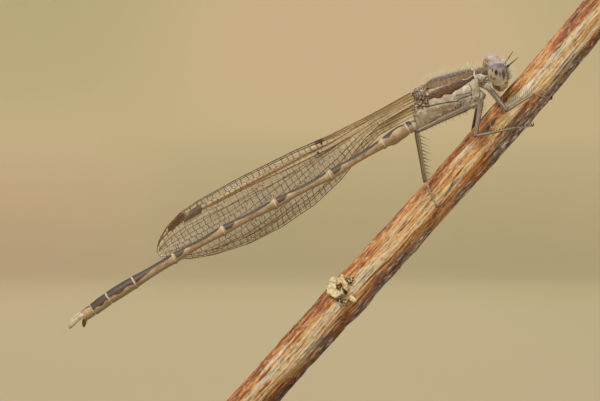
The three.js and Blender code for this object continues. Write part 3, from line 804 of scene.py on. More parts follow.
# Single marks: share of the length, turn, half sizes along and round, and how much lighter or darker.
STEM_MARKS = (
    (0.745, 29, 0.022, 13, 0.5), (0.782, 20, 0.03, 8, 0.5), (0.76, 76, 0.045, 15, -0.3),
    (0.777, 43, 0.03, 9, -0.2), (0.86, 20, 0.07, 7, 0.2), (0.74, -43, 0.03, 9, 0.4),
    (0.77, -60, 0.03, 9, 0.4), (0.75, -16, 0.05, 10, -0.22), (0.62, 37, 0.045, 8, 0.5),
    (0.69, 30, 0.025, 8, -0.45), (0.67, 20, 0.03, 7, -0.1), (0.365, 39, 0.06, 14, -0.14),
    (0.43, -66, 0.06, 12, 0.7), (0.38, -60, 0.11, 8, -0.25), (0.251, 84, 0.03, 22, -0.2),
    (0.235, -40, 0.05, 12, -0.35), (0.125, 42, 0.05, 7, 0.75), (0.06, 5, 0.03, 5, -0.6),
    (0.085, 30, 0.025, 5, -0.5), (0.05, -62, 0.03, 9, 0.4), (0.93, 10, 0.05, 10, 0.1),
    (0.9, -40, 0.05, 9, -0.2), (0.93, 52, 0.04, 9, -0.15), (0.55, 15, 0.05, 9, -0.2),
    (0.52, -30, 0.06, 9, -0.15), (0.57, -10, 0.04, 7, 0.2), (0.47, 55, 0.05, 9, 0.25),
    (0.3, 150, 0.1, 20, 0.3), (0.7, 190, 0.1, 16, 0.35), (0.5, 120, 0.08, 14, -0.3),
    (0.85, 140, 0.08, 16, -0.25),
)


def stem_tone(share, turns, wobble):
    """Lightness of the stem at points of one ring."""
    turn = (turns + wobble + 180) % 360 - 180
    tone = np.interp(turn, *zip(*GIRTH_TONE))
    for at, side, long, wide, amount in STEM_MARKS:
        off = (turns + 0.3 * wobble - side + 180) % 360 - 180
        tone = tone + amount * np.clip(1.6 - 1.6 * np.hypot((share - at) / long, off / wide), 0, 1)
    return tone


def stem_skin(relief):
    rows, sides = STEM_ROWS, STEM_SIDES
    shares = np.linspace(0, 1, rows)
    axis = stem_axis(rows)
    along = np.gradient(axis, axis=0)
    along /= np.linalg.norm(along, axis=1)[:, None]
    near = np.array([0, -1, 0])
    turns = circle(sides)
    degrees = np.degrees(turns)
    crack, tone = np.zeros((rows, sides)), np.zeros((rows, sides))
    rings = np.zeros((rows, sides, 3))
    for i, share in enumerate(shares):
        rise = np.array([-along[i][2], 0, along[i][0]])
        height = np.zeros(sides)
        for k, turn in enumerate(turns):
            wander = share * 40
            c, s = math.cos(turn), math.sin(turn)
            broad = noise.noise(Vector((c * 2.2, s * 2.2, wander * 0.16)))
            fibre = noise.fractal(Vector((c * 9, s * 9, wander * 0.22)), 0.9, 2.1, 3)
            split = abs(noise.noise(Vector((c * 4.5 + 7, s * 4.5, wander * 0.11))))
            gap = max(0.0, 1 - split / 0.07)
            fine = noise.noise(Vector((c * 22, s * 22, wander * 0.9)))
            slit = max(0.0, 1 - abs(noise.noise(Vector((c * 13, s * 13 + 4, wander * 0.3)))) / 0.07)
            crack[i, k] = max(gap, 0.55 * slit)
            height[k] = relief * (0.5 * broad + 1.0 * fibre + 0.6 * fine) - relief * (1.1 * gap + 0.5 * slit)
        wobble = 14 * noise.noise(Vector((share * 7, 2.2, 0))) + 6 * noise.noise(Vector((share * 25, 5.2, 0)))
        tone[i] = stem_tone(share, degrees, wobble)
        radius = stem_radius(share) + height + 0.03 * np.cos(5 * turns + 2 * share) - 0.06
        rings[i] = axis[i] + radius[:, None] * (np.outer(np.cos(turns), near) + np.outer(np.sin(turns), rise))
    patches = np.array([noise.noise(Vector((share * 22, 1.7, 0))) for share in shares])
    flaky = np.cos(np.radians(degrees + 82))[None, :] + 0.5 * patches[:, None] - 0.1
    cut = np.repeat(-30 * np.minimum(shares, 1 - shares)[:, None], sides, axis=1)
    low_rim, high_rim = rings[0], rings[-1]
    rough = relief * np.array(
        [noise.noise(Vector((3 * math.cos(turn), 3 * math.sin(turn), 9))) for turn in turns]
    )
    for factor in (0.93, 0.75, 0.4, 0.02):
        low = axis[0] + (low_rim - axis[0]) * factor - along[0] * (1 - factor) * rough[:, None]
        high = axis[-1] + (high_rim - axis[-1]) * factor + along[-1] * (1 - factor) * rough[:, None]
        rings = np.concatenate([[low], rings, [high]])
        ends = np.full((1, sides), (1 - factor) * 1.3)
        cut = np.concatenate([ends, cut, ends])
        tone = np.concatenate([tone[:1], tone, tone[-1:]])
        crack, flaky = (np.concatenate([0 * part[:1], part, 0 * part[:1]]) for part in (crack, flaky))
    return tube("stem", rings, {"tone": tone, "crack": crack, "flaky": flaky, "cut": cut})


# Streaks of the stem, from broad to thin, then crumbs and dots: scale, stretch, detail and shift of each.
STREAKS = (
    (1100.0, 0.08, 4.0, 0.3), (4200.0, 0.06, 4.0, 1.7), (11000.0, 0.09, 3.0, 3.1), (7000.0, 0.22, 3.0, 5.3),
    (5600.0, 0.5, 2.0, 8.1),
)


def stem_material(settings):
    paint = Finish("Weathered stem", settings.bark, roughness=0.6)
    tree = paint.tree
    broad, fine, thin, crumb, dots = (
        paint.group(streak_group(), scale=scale, stretch=stretch, detail=detail, shift=shift)["Streaks"]
        for scale, stretch, detail, shift in STREAKS
    )
    tone = swung(tree, paint.read("tone"), broad, 1.25)
    tone = swung(tree, tone, fine, 0.9)
    tone = swung(tree, tone, thin, 0.45)
    steps = (
        (0.0, settings.dark), (0.14, "#633726"), (0.3, "#91502a"), (0.44, settings.bark), (0.56, "#d59a58"),
        (0.7, settings.wood), (0.86, settings.silver), (1.0, "#eee5d0"),
    )
    ramp = add(tree, "ValToRGB", {"Fac": tone})
    stops = ramp.color_ramp.elements
    while len(stops) < len(steps):
        stops.new(0.5)
    for stop, (place, colour) in zip(stops, steps):
        stop.position = place
        stop.color = (*shade(colour), 1)
    paint.colour = ramp.outputs[0]
    paint.layer("#2a1717", paint.ramp("crack", 0.2, 0.8), 0.75)
    paint.layer("#45251a", paint.ramp(thin, 0.4, 0.33), 0.7)
    paint.layer("#f0ddb4", paint.ramp(thin, 0.62, 0.7), 0.55)
    paint.layer("#e3d2b0", paint.ramp(dots, 0.54, 0.62), 0.36)
    paint.layer("#7a4d2b", paint.ramp(dots, 0.44, 0.36), 0.4)
    bark = swung(tree, paint.read("flaky"), fine, 2.0)
    paint.layer("#8f8078", paint.ramp(bark, 0.55, 0.85), 0.82)
    dark_bark = paint.scaled(paint.ramp(bark, 0.55, 0.85), paint.ramp(thin, 0.49, 0.42))
    paint.layer("#55423c", dark_bark, 0.85)
    flaky = paint.ramp("flaky", 0.2, 1.2, 0.0, 0.15)
    white = maths(tree, "ADD", crumb, flaky)
    paint.layer("#f3ece0", paint.ramp(white, 0.67, 0.72), 0.8)
    pits = maths(tree, "SUBTRACT", crumb, flaky)
    paint.layer("#3a231f", paint.ramp(pits, 0.33, 0.28), 0.7)
    speck = noisy(tree, object_place(tree), 9000.0, 2.0)
    paint.layer(
        mixed(tree, paint.ramp(speck, 0.42, 0.6), "#a97c4a", "#d8b988"), paint.edge("cut", 0.03, 0.08),
    )
    pith = mixed(tree, paint.ramp(speck, 0.42, 0.6), "#e9dfc4", "#c9b78e")
    paint.layer(pith, paint.edge("cut", 0.05, 0.12, 5000.0, -0.4))
    height = maths(tree, "ADD", paint.scaled(thin, 0.5), maths(tree, "ADD", fine, paint.scaled(crumb, 0.5)))
    return paint.done(height, 0.00012, 0.8, paint.ramp(fine, 0.3, 0.7, 0.45, 0.75))


def scar_frame():
    axis = stem_axis(400)
    i = round(SCAR_ALONG * 399)
    along = Vector(axis[i + 1] - axis[i - 1]).normalized()
    rise = Vector((-along.z, 0, along.x))
    turn = math.radians(SCAR_TURN)
    out = Vector((0, -1, 0)) * math.cos(turn) + rise * math.sin(turn)
    side = along.cross(out)
    place = Vector(axis[i]) + out * (stem_radius(SCAR_ALONG) - SCAR_SUNK)
    return Matrix((along, side, out)).transposed().to_4x4(), place


def leaf_scar():
    """A shallow torn cup with an uneven rim where a leaf stalk broke off."""
    shape = smooth_table(SCAR_PROFILE, 52)
    turn, place = scar_frame()
    sides = 110
    rings, depth = [], []
    for radius, height in shape:
        ring, deep = [], []
        for angle in circle(sides):
            c, s = math.cos(angle), math.sin(angle)
            wave = noise.noise(Vector((c * 1.3, s * 1.3, 3.3)))
            tear = noise.fractal(Vector((c * radius * 6, s * radius * 6, height * 3)), 0.9, 2.0, 3)
            edges = 0.09 * abs(math.sin(3.5 * angle + 0.6))
            slit = max(0.0, 1 - abs((angle - 0.9 - 0.6 * radius) / 0.22)) if radius > 0.2 else 0
            grow = 1 + 0.16 * wave + 0.05 * tear - edges
            lift = height * (1 + 0.5 * wave) + 0.06 * tear - 0.24 * slit if height > 0.1 else height
            shift = 0.3 * max(0.0, 1 - radius / 0.55)
            ring.append((radius * grow * c + shift, radius * grow * s + 0.3 * shift, lift))
            # Depth below the rim, which the material turns into painted shade in the cup; the slit in the rim
            # takes it too.
            deep.append(0.24 - lift if radius < 0.62 else -0.05 + 0.5 * slit)
        rings.append(ring)
        depth.append(deep)
    cup = tube("leaf_scar", rings, {"depth": depth})
    cup.data.transform(Matrix.Translation(place) @ turn)
    pieces = [cup]
    seeded = random.Random(5)
    for at, radii in SCAR_PETALS:
        petal = ball("petal", (0, 0, 0), radii, 28, 18)
        points = coordinates(petal)
        move_points(petal, points * (1 + 0.5 * fractal(points, 4.0))[:, None] + np.array(at))
        petal.data.transform(Matrix.Translation(place) @ turn)
        fill(petal, depth=-0.1)
        pieces.append(petal)
    for n in range(SCAR_CRUMBS):
        x, y = (0.98, 0.3) if n % 2 else (-0.5, 0.86)
        x, y = x + seeded.gauss(0, 0.14), y + seeded.gauss(0, 0.16)
        size = seeded.uniform(0.025, 0.06)
        at = Matrix.Translation(place) @ turn @ Vector((x, y, 0.12 - 0.36 * y * y))
        crumb = ball(
            "crumb", at, (size * seeded.uniform(0.6, 1.6), size, size * seeded.uniform(0.6, 1.6)), 10, 7,
        )
        fill(crumb, depth=seeded.choice((-0.1, 0.16, 0.3)))
        pieces.append(crumb)
    return joined("leaf_scar", pieces)


def scar_material(settings):
    paint = Finish("Torn leaf scar", "#e2d3a6", roughness=0.7)
    grain = paint.grain(3600.0, 9000.0)
    paint.layer("#b08a4a", paint.ramp(grain["Cloud"], 0.52, 0.62), 0.8)
    paint.layer("#f3ead0", paint.ramp(grain["Cloud"], 0.46, 0.34))
    paint.marks(
        # Painted shade: the cup darkens the deeper it lies; the crumbs take these colours as their own tone by
        # their set depth.
        ("#6a5c36", 1, "depth", 0.05, 0.1, 5000.0, -0.04),
        ("#2f2a1a", 1, "depth", 0.05, 0.1, 5000.0, -0.2),
    )
    return paint.done(grain["Height"], 0.00008, 0.8)


class MakeStem(bpy.types.Operator):
    """Makes the weathered stem and its leaf scar"""

    bl_idname = "damselfly.stem"
    bl_label = "Stem"

    def execute(self, context):
        settings = context.scene.damselfly.stem
        skin = stem_skin(settings.relief * MM)
        finish(skin, stem_material(settings), ["perch_stem"])
        finish(leaf_scar(), scar_material(settings))
        return {"FINISHED"}


class MakeStand(bpy.types.Operator):
    """Makes the wooden base with its rounded edges and the metal rod"""

    bl_idname = "damselfly.stand"
    bl_label = "Stand"

    def execute(self, context):
        settings = context.scene.damselfly.stand
        length, width, height = (MM * v for v in (settings.length, settings.width, settings.height))
        deselect()
        bpy.ops.mesh.primitive_cube_add(size=1, location=(0, 0, height / 2), scale=(length, width, height))
        bpy.ops.object.transform_apply()
        base = named("base_block")
        bpy.ops.object.mode_set(mode="EDIT")
        bpy.ops.mesh.select_mode(type="EDGE")
        bpy.ops.mesh.select_all(action="DESELECT")
        bpy.ops.object.mode_set(mode="OBJECT")
        for edge in base.data.edges:
            ends = [base.data.vertices[i].co for i in edge.vertices]
            edge.select = abs(ends[0].z - ends[1].z) > height / 2
        bpy.ops.object.mode_set(mode="EDIT")
        bpy.ops.mesh.bevel(offset=4, segments=10)
        bpy.ops.object.mode_set(mode="OBJECT")
        trim = base.modifiers.new("Worn edge", "BEVEL")
        trim.width, trim.segments, trim.limit_method, trim.angle_limit = 0.4, 4, "ANGLE", math.radians(50)
        bpy.ops.object.modifier_apply(modifier=trim.name)
        paint = Finish("Stained wood", settings.wood, roughness=0.35, coat_weight=0.35)
        place = object_place(paint.tree)
        long = add(paint.tree, "VectorMath", {0: place, 1: (0.06, 1, 1)}, operation="MULTIPLY").outputs[0]
        grain = noisy(paint.tree, long, 900.0, 5.0, Distortion=0.6)
        paint.layer("#2b1c13", paint.ramp(grain, 0.52, 0.7))
        paint.layer("#6b4c35", paint.ramp(grain, 0.44, 0.28))
        finish(
            base, paint.done(grain, 0.00003, 0.4, paint.ramp(grain, 0.3, 0.7, 0.3, 0.45)),
            ["stand_base"],
        )
        only(base)
        bpy.ops.object.shade_smooth_by_angle(angle=math.radians(35))

        low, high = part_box("stand_rod")
        at, radius = (low.x + high.x) / 2 * MM, (high.x - low.x) / 2 * MM
        deselect()
        bpy.ops.mesh.primitive_circle_add(
            vertices=48, radius=radius * 1.7, location=(at, 0, height - 0.1), fill_type="NGON",
        )
        rod = named("rod")
        bpy.ops.object.transform_apply(location=False, rotation=True, scale=True)
        bpy.ops.object.mode_set(mode="EDIT")
        for rise, wider in ((0.5, 1), (0.12, 0.93), (0.02, 1 / 1.7 / 0.93), (2.7, 1), (0.3, 1)):
            grow(rise, wider)
        leave_edit()
        bpy.ops.object.transform_apply()
        paint = Finish("Brushed metal", settings.metal, roughness=0.3, metallic=1.0)
        place = object_place(paint.tree)
        round_it = add(paint.tree, "VectorMath", {0: place, 1: (1, 1, 0.04)}, operation="MULTIPLY").outputs[0]
        brush = noisy(paint.tree, round_it, 6000.0, 2.0)
        paint.layer("#8c8c8a", paint.ramp(brush, 0.5, 0.8))
        finish(
            rod, paint.done(brush, 0.00001, 0.3, paint.ramp(brush, 0.3, 0.7, 0.22, 0.4)),
            ["stand_rod"],
        )
        only(rod)
        bpy.ops.object.shade_smooth_by_angle(angle=math.radians(35))
        return {"FINISHED"}


# Abdomen.


def dark_angle(number, share, length):
    """Half the angle, in degrees, that the dark mark of a segment covers at a share of its length."""
    if number == 1:
        return 60
    if number == 2:
        return 24 + 34 * math.exp(-(((share - 0.72) / 0.16) ** 2)) if share < 0.93 else 0
    if number < 7:
        if share > 0.955:
            return 0
        sliver = 30 + 33 * math.sin(math.pi * min(share / 0.8, 1)) if share > 0.05 else 10
        step = min(max((share - 0.66) / 0.2, 0), 1)
        return max(sliver, 92 * step * step * (3 - 2 * step))
    if number == 7:
        return 44 + 46 * share**1.5 + 6 * math.sin(share * 9) if share < 0.96 else 20
    if number < 10:
        return 84 + 9 * math.sin(share * 11 + number) - 26 * max(0, (share - 0.9) / 0.1)
    return 30 * (1 - share)


def abdomen_run():
    """Centres, radii and marks of the rings down the abdomen, in the body frame."""
    place, rows = Vector(ABDOMEN_START), []
    for number, (length, droop, radii) in enumerate(SEGMENTS, 1):
        turn = math.radians(droop)
        ahead = Vector((-math.cos(turn), 0, -math.sin(turn)))
        count = max(int(length / ABDOMEN_STEP), 8)
        profile = smooth_table(radii, count)[:, 0]
        for i in range(count):
            share = (i + 0.5) / count
            start, end = share * length, (1 - share) * length
            pinch = 0.13 * math.exp(-((start / 0.07) ** 2)) + 0.06 * math.exp(-((end / 0.035) ** 2))
            collar = 0.035 * math.exp(-(((end - 0.12) / 0.06) ** 2)) if number > 1 else 0
            radius = profile[i] * (1 - pinch + collar)
            rows.append((place + ahead * (share * length), radius, number, share, length))
        place = place + ahead * length
    return rows, place, math.radians(SEGMENTS[-1][1])


def abdomen_skin():
    rows, end, _ = abdomen_run()
    sides = ABDOMEN_SIDES
    centres = [rows[0][0] + Vector((0.3, 0, 0))] + [r[0] for r in rows] + [
        end + Vector((0.02, 0, 0)), end + Vector((0.08, 0, 0)),
    ]
    radii = [0.3] + [r[1] for r in rows] + [0.33, 0.02]
    rings = limb_rings([tuple(c) for c in centres], radii, sides)
    rows = [rows[0], *rows, rows[-1], rows[-1]]
    turn = np.degrees(circle(sides))
    from_back = np.abs((turn + 90 + 180) % 360 - 180)
    middle = rings.mean(axis=1, keepdims=True)
    groove = 1 - 0.07 * np.exp(-(((180 - from_back) / 10) ** 2))
    rings = middle + (rings - middle) * groove[None, :, None]
    dark, joint, side, rust = [], [], [], []
    for _, radius, number, share, length in rows:
        edge = dark_angle(number, share, length)
        dark.append((edge - from_back) * math.radians(1) * radius)
        gap = min(share, 1 - share) * length
        joint.append(np.full(sides, 0.06 - (gap if share > 0.5 else gap * 1.8)))
        side.append(from_back / 180)
        spot = math.exp(-(((share - 0.56) / 0.1) ** 2)) if 2 < number < 7 else 0
        rust.append(spot * np.exp(-(((from_back - 74) / 24) ** 2)))
    skin = tube("abdomen_skin", rings, {"dark": dark, "joint": joint, "side": side, "rust": rust})
    lumps = [ball("hamule", (-1.5, 0, -0.52), (0.5, 0.24, 0.2), 24, 14)]
    for (_, _, number, _, _), (at, radius, after, _, _) in zip(rows[:-1], rows[1:]):
        if after != number and 2 < after < 9:
            for out in (-1, 1):
                foot = at + Vector((0, out * 0.76, -0.84)) * radius
                lumps.append(ball("joint_knob", tuple(foot), (0.12, 0.09, 0.1), 16, 10))
    for lump in lumps:
        fill(lump, dark=-1, joint=-1 if lump == lumps[0] else 0.1, side=0.62, rust=0)
    skin = joined("abdomen_skin", [skin, *lumps])
    skin.data.transform(BODY)
    return skin


def abdomen_material(settings):
    paint = Finish("Abdomen cuticle", settings.side, roughness=0.5, coat_weight=0.05)
    tree = paint.tree
    grain = paint.grain(2600.0, 11000.0)
    side = paint.read("side")
    paint.layer("#c3a981", paint.ramp(grain["Cloud"], 0.42, 0.62))
    paint.layer("#9c6c48", paint.ramp(grain["Cloud"], 0.43, 0.33), 0.7)
    paint.layer(settings.belly, paint.ramp(side, 0.5, 0.72))
    paint.layer("#8d6f4a", paint.ramp(side, 0.88, 0.97), 0.6)
    paint.layer("#80603f", grain["Flecks"], 0.5)
    paint.layer("#a9683c", paint.read("rust"), 0.5)
    dark = paint.edge("dark", 0.018, 0.07, 4200.0)
    tone = mixed(tree, paint.ramp(grain["Cloud"], 0.4, 0.65), settings.dark, "#6d4c3c")
    paint.layer(tone, dark)
    paint.layer("#413b2f", paint.scaled(dark, paint.ramp(side, 0.36, 0.27, 0.0, 0.85)))
    paint.layer("#8a6a58", paint.scaled(dark, grain["Flecks"]), 0.5)
    ring = paint.edge("joint", 0.012, 0.03, 5000.0)
    paint.layer("#e9dfc6", ring, 0.85)
    paint.layer("#54402f", paint.edge("joint", 0.01, 0.03, 9000.0, -0.045), 0.85)
    return paint.done(grain["Height"], 0.000018, 0.5, paint.ramp(grain["Cloud"], 0.3, 0.7, 0.42, 0.6))


class MakeAbdomen(bpy.types.Operator):
    """Makes the abdomen as one skin with its ten segments"""

    bl_idname = "damselfly.abdomen"
    bl_label = "Abdomen"

    def execute(self, context):
        nodes = [f"abdomen_s{i}" for i in range(1, 11)]
        finish(abdomen_skin(), abdomen_material(context.scene.damselfly.body), nodes)
        return {"FINISHED"}


def horn(name, path, radii, out, counts, flat, tip_from, tip_gain):
    """A closed curved horn to one side, with a field that rises above zero towards its tip."""
    rows, sides = counts
    path = smooth_table([(x, out * y, z) for x, y, z in path], rows)
    radii = smooth_table(radii, rows)[:, 0]
    radii[0] = radii[-1] = HORN_TIP
    share = np.repeat(np.linspace(0, 1, rows)[:, None], sides, axis=1)
    return tube(name, limb_rings(path, radii, sides, flat), {"tip": (share - tip_from) * tip_gain})


class MakeClaspers(bpy.types.Operator):
    """Makes the two curved claspers and the lower appendages at the tail"""

    bl_idname = "damselfly.claspers"
    bl_label = "Claspers"

    def execute(self, context):
        _, end, droop = abdomen_run()
        turn = Matrix.Rotation(-droop, 4, "Y")
        tail = BODY @ Matrix.Translation(end) @ turn @ Matrix.Translation((0.25, 0, 0))
        paint = Finish("Clasper cuticle", "#d9cfb4", roughness=0.45)
        grain = paint.grain(3500.0, 14000.0)
        paint.layer("#b09a74", paint.ramp(grain["Cloud"], 0.45, 0.65))
        paint.layer("#3d2c24", paint.edge("tip", 0.06, 0.12, 6000.0))
        material = paint.done(grain["Height"], 0.000015, 0.5)
        for name, out in (("cercus_right", -1), ("cercus_left", 1)):
            hook = horn(name + "_skin", CERCUS_PATH, CERCUS_RADII, out, (32, 24), 0.8, 0.84, 1.4)
            tooth = ball("tooth", (-0.66, out * 0.24, 0.06), (0.12, 0.09, 0.07), 14, 10)
            fill(tooth, tip=0)
            hook = joined(name + "_skin", [hook, tooth])
            hook.data.transform(tail)
            finish(hook, material, [name])
        halves = [
            horn("half", PARAPROCT_PATH, PARAPROCT_RADII, out, (20, 18), 1.0, 0.95, 1.2) for out in (-1, 1)
        ]
        lower = joined("paraproct_skin", halves)
        lower.data.transform(tail)
        paint = Finish("Lower appendage", "#8a683f", roughness=0.5)
        grain = paint.grain(3500.0, 14000.0)
        paint.layer("#5a3f27", paint.ramp(grain["Cloud"], 0.45, 0.65))
        finish(lower, paint.done(grain["Height"], 0.000015, 0.5), ["paraproct"])
        return {"FINISHED"}


# Thorax with the neck shield.


def thorax_form():
    """Overlapping forms of the thorax, the neck shield and the wing and leg bases, closed into one skin."""
    table = smooth_table([(*back, *belly, half) for back, belly, half in THORAX], 44)
    sides = 56
    turns = circle(sides)
    rise = np.sin(turns)
    roof = 1 - 0.22 * np.maximum(rise, 0) ** 2 - 0.12 * np.maximum(-rise, 0)
    rings = []
    for bx, bz, lx, lz, half in table:
        middle, up = np.array(((bx + lx) / 2, 0, (bz + lz) / 2)), np.array(((bx - lx) / 2, 0, (bz - lz) / 2))
        rings.append(middle + np.outer(rise, up) + np.outer(half * np.cos(turns) * roof, (0, 1, 0)))
    pieces = [tube("thorax_form", rings)]
    seeded = random.Random(7)
    lumps = list(THORAX_KNOBS)
    for _ in range(44):
        at = (seeded.uniform(0.75, 2.15), seeded.uniform(0.56, 0.92), 0)
        rise_here = 0.62 + (at[0] - 0.9) * 0.95 + seeded.uniform(-0.2, 0.2)
        size = seeded.uniform(0.05, 0.11)
        lumps.append(((at[0], at[1] * (1.15 - 0.12 * at[0]), rise_here), (size * 1.3, size, size)))
    for at, radii in lumps:
        for out in (-1, 1):
            pieces.append(ball("knob", (at[0], out * at[1], at[2]), radii, 20, 12))
    pieces += [ball("shield", at, radii, 28, 18) for at, radii in PROTHORAX]
    return remeshed(joined("thorax_skin", pieces), THORAX_VOXEL, 5)


def flank_map(points):
    """Forward place and height of each point as seen square to the leaning flank; both sides alike."""
    return np.stack([points[:, 0], 0.966 * points[:, 2] - 0.2588 * np.abs(points[:, 1])], axis=1)


def between(flat, upper, lower):
    """Above zero between two lines that run forward, in millimetres."""
    upper, lower = np.array(sorted(upper)), np.array(sorted(lower))
    high = np.interp(flat[:, 0], upper[:, 0], upper[:, 1])
    low = np.interp(flat[:, 0], lower[:, 0], lower[:, 1])
    return np.minimum(high - flat[:, 1], flat[:, 1] - low)


def thorax_skin():
    skin = thorax_form()
    points = coordinates(skin)
    flat = flank_map(points)
    forward, rise = flat[:, 0], flat[:, 1]
    normals = normals_of(skin)
    groove = np.zeros(len(points))
    for line, strength in zip(SUTURES, SUTURE_STRENGTH):
        groove = np.maximum(groove, strength * np.exp(-((line_distance(flat, line) / 0.05) ** 2)))
    on_body = forward < 5.75
    ridge = np.where(on_body & (points[:, 2] > 1), np.exp(-((points[:, 1] / 0.06) ** 2)), 0)
    waves = fractal(points, 3.2)
    step = between(flat, CHESTNUT_TOP, CHESTNUT_LOW)
    swell = 0.02 * np.clip(step / 0.1, -1, 1) * on_body
    folds = np.abs(fractal(points, 5.5, 2)) * np.clip((forward - 5.6) / 0.3, 0, 1)
    low_folds = np.abs(fractal(points, 2.6, 2)) * (forward < 5.6) * np.clip((-0.15 - rise) / 0.3, 0, 1)
    lift = 0.028 * ridge - 0.035 * groove + 0.016 * waves + swell + 0.11 * folds + 0.1 * low_folds
    move_points(skin, points + normals * lift[:, None])
    # The fields fold and low_fold are above zero in the valleys between the folds, where the material lays
    # painted shade.
    field(skin, "fold", 0.16 - 1.6 * folds - 4 * (forward < 5.75))
    field(skin, "low_fold", 0.05 - low_folds - 4 * ((forward > 5.6) | (rise > -0.35)))
    back = np.interp(forward, *zip(*BACK_LINE))
    start = np.minimum(forward - 1.75, 5.72 - forward)
    fields(
        skin,
        bronze=np.minimum(rise - back, start),
        ochre=np.minimum(between(flat, BACK_LINE, OCHRE_LINE), forward - 1.9),
        yellow=np.minimum(
            between(flat, OCHRE_LINE, CHESTNUT_TOP), np.minimum(forward - 2.15, 4.75 - forward),
        ),
        chestnut=np.minimum(step, np.minimum(forward - 1.5, 5.62 - forward)),
        dash=0.055 - line_distance(flat, DASH),
    )
    lines = np.full(len(points), -1.0)
    for line, strength in zip(SUTURES, SUTURE_STRENGTH):
        lines = np.maximum(lines, 0.045 * strength - line_distance(flat, line))
    field(skin, "suture", lines)
    field(skin, "tan", 0.1 - line_distance(flat, TAN_BAND))
    spots = np.full(len(points), -1.0)
    for x, y, size, strength in FLANK_SPOTS:
        spots = np.maximum(spots, size * strength - np.hypot(forward - x, rise - y))
    fields(
        skin,
        spot=spots,
        plates=area_distance(flat, PLATES),
        low=np.interp(forward, *BREAST_LINE) - rise,
    )
    collar = np.interp(rise, *COLLAR_LINE)
    fields(
        skin,
        shield=forward - collar - 0.06,
        shield_low=np.interp(forward, *SHIELD_LINE) - rise,
        collar=0.05 - np.abs(forward - collar),
        hinge=np.minimum(1.95 + 0.25 * (rise - 1) - forward, rise - 0.55 - 0.3 * (1.2 - forward)),
    )
    skin.data.transform(BODY)
    return skin


def thorax_material(settings):
    paint = Finish("Thorax cuticle", settings.pale, roughness=0.5, coat_weight=0.1)
    tree = paint.tree
    grain = paint.grain(1900.0, 13000.0)
    cloud = grain["Cloud"]
    place = object_place(tree)
    speck = noisy(tree, place, 7500.0, 2.0)
    paint.layer("#bdb2a2", paint.ramp(cloud, 0.44, 0.62))
    paint.layer("#efe9dd", paint.ramp(cloud, 0.46, 0.32))
    paint.marks(
        # Pale breast under the flank: partly its own pale colour, partly painted light, near white to offset
        # the shade under the body.
        ("#efebe6", 0.85, "low", 0.12, 0.3, 2500.0),
        ("#b39a78", 0.8, "tan", 0.05, 0.12, 3000.0),
        ("#a9acaa", 0.85, "plates", 0.04, 0.1),
        ("#5b4026", 1, "ochre", 0.03, 0.06),
    )
    ochre = mixed(tree, paint.ramp(speck, 0.4, 0.58), "#6d4a24", settings.ochre)
    paint.layer(ochre, paint.edge("ochre", 0.03, 0.06, offset=-0.04))
    bronze = mixed(tree, paint.ramp(speck, 0.54, 0.68), settings.bronze, "#7b6b5c")
    bronze = mixed(tree, paint.ramp(speck, 0.46, 0.36), bronze, "#33271f")
    paint.marks(
        (bronze, 1, "bronze", 0.03, 0.09),
        ("#21150d", 1, "chestnut", 0.022, 0.05),
    )
    golden = mixed(tree, paint.ramp(speck, 0.42, 0.6), "#4a2d16", settings.chestnut)
    paint.marks(
        (golden, 1, "chestnut", 0.03, 0.06, 5000.0, -0.07),
        ("#5b4026", 1, "yellow", 0.02, 0.03),
        ("#bd9b61", 0.9, "yellow", 0.02, 0.03, 5000.0, -0.05),
        ("#1f1712", 1, "dash", 0.015, 0.05),
    )
    # Wing bases: dark brown with pale flecks that are painted glints, and darker specks.
    hinge = mixed(tree, paint.ramp(speck, 0.5, 0.64), "#523a28", "#cbb092")
    hinge = mixed(tree, paint.ramp(speck, 0.46, 0.38), hinge, "#2b2019")
    paint.marks(
        (hinge, 0.9, "hinge", 0.06, 0.2, 3500.0),
        ("#3d2f25", 0.85, "suture", 0.018, 0.04),
        ("#33261d", 1, "spot", 0.02, 0.04),
        # Painted shade in the valleys of the folds under the flank.
        ("#56483b", 0.7, "low_fold", 0.03, 0.05),
    )
    shield = paint.edge("shield", 0.03, 0.06)
    low = paint.edge("shield_low", 0.04, 0.1)
    dark = mixed(tree, paint.ramp(speck, 0.45, 0.6), "#453327", "#8d7048")
    light = mixed(tree, paint.ramp(cloud, 0.42, 0.58), "#aca191", "#ece6da")
    paint.layer(mixed(tree, low, dark, light), shield)
    paint.marks(
        # Painted shade in the valleys of the folds of the neck shield.
        ("#4a3b30", 0.75, "fold", 0.03, 0.06),
        ("#e6ddc8", 0.8, "collar", 0.02, 0.03),
    )
    return paint.done(grain["Height"], 0.000025, 0.6, paint.ramp(cloud, 0.3, 0.7, 0.42, 0.6))


class MakeThorax(bpy.types.Operator):
    """Makes the thorax and the neck shield as one skin with its sutures and bands"""

    bl_idname = "damselfly.thorax"
    bl_label = "Thorax"

    def execute(self, context):
        settings = context.scene.damselfly.body
        finish(thorax_skin(), thorax_material(settings), ["thorax", "prothorax"])
        return {"FINISHED"}


# Head.


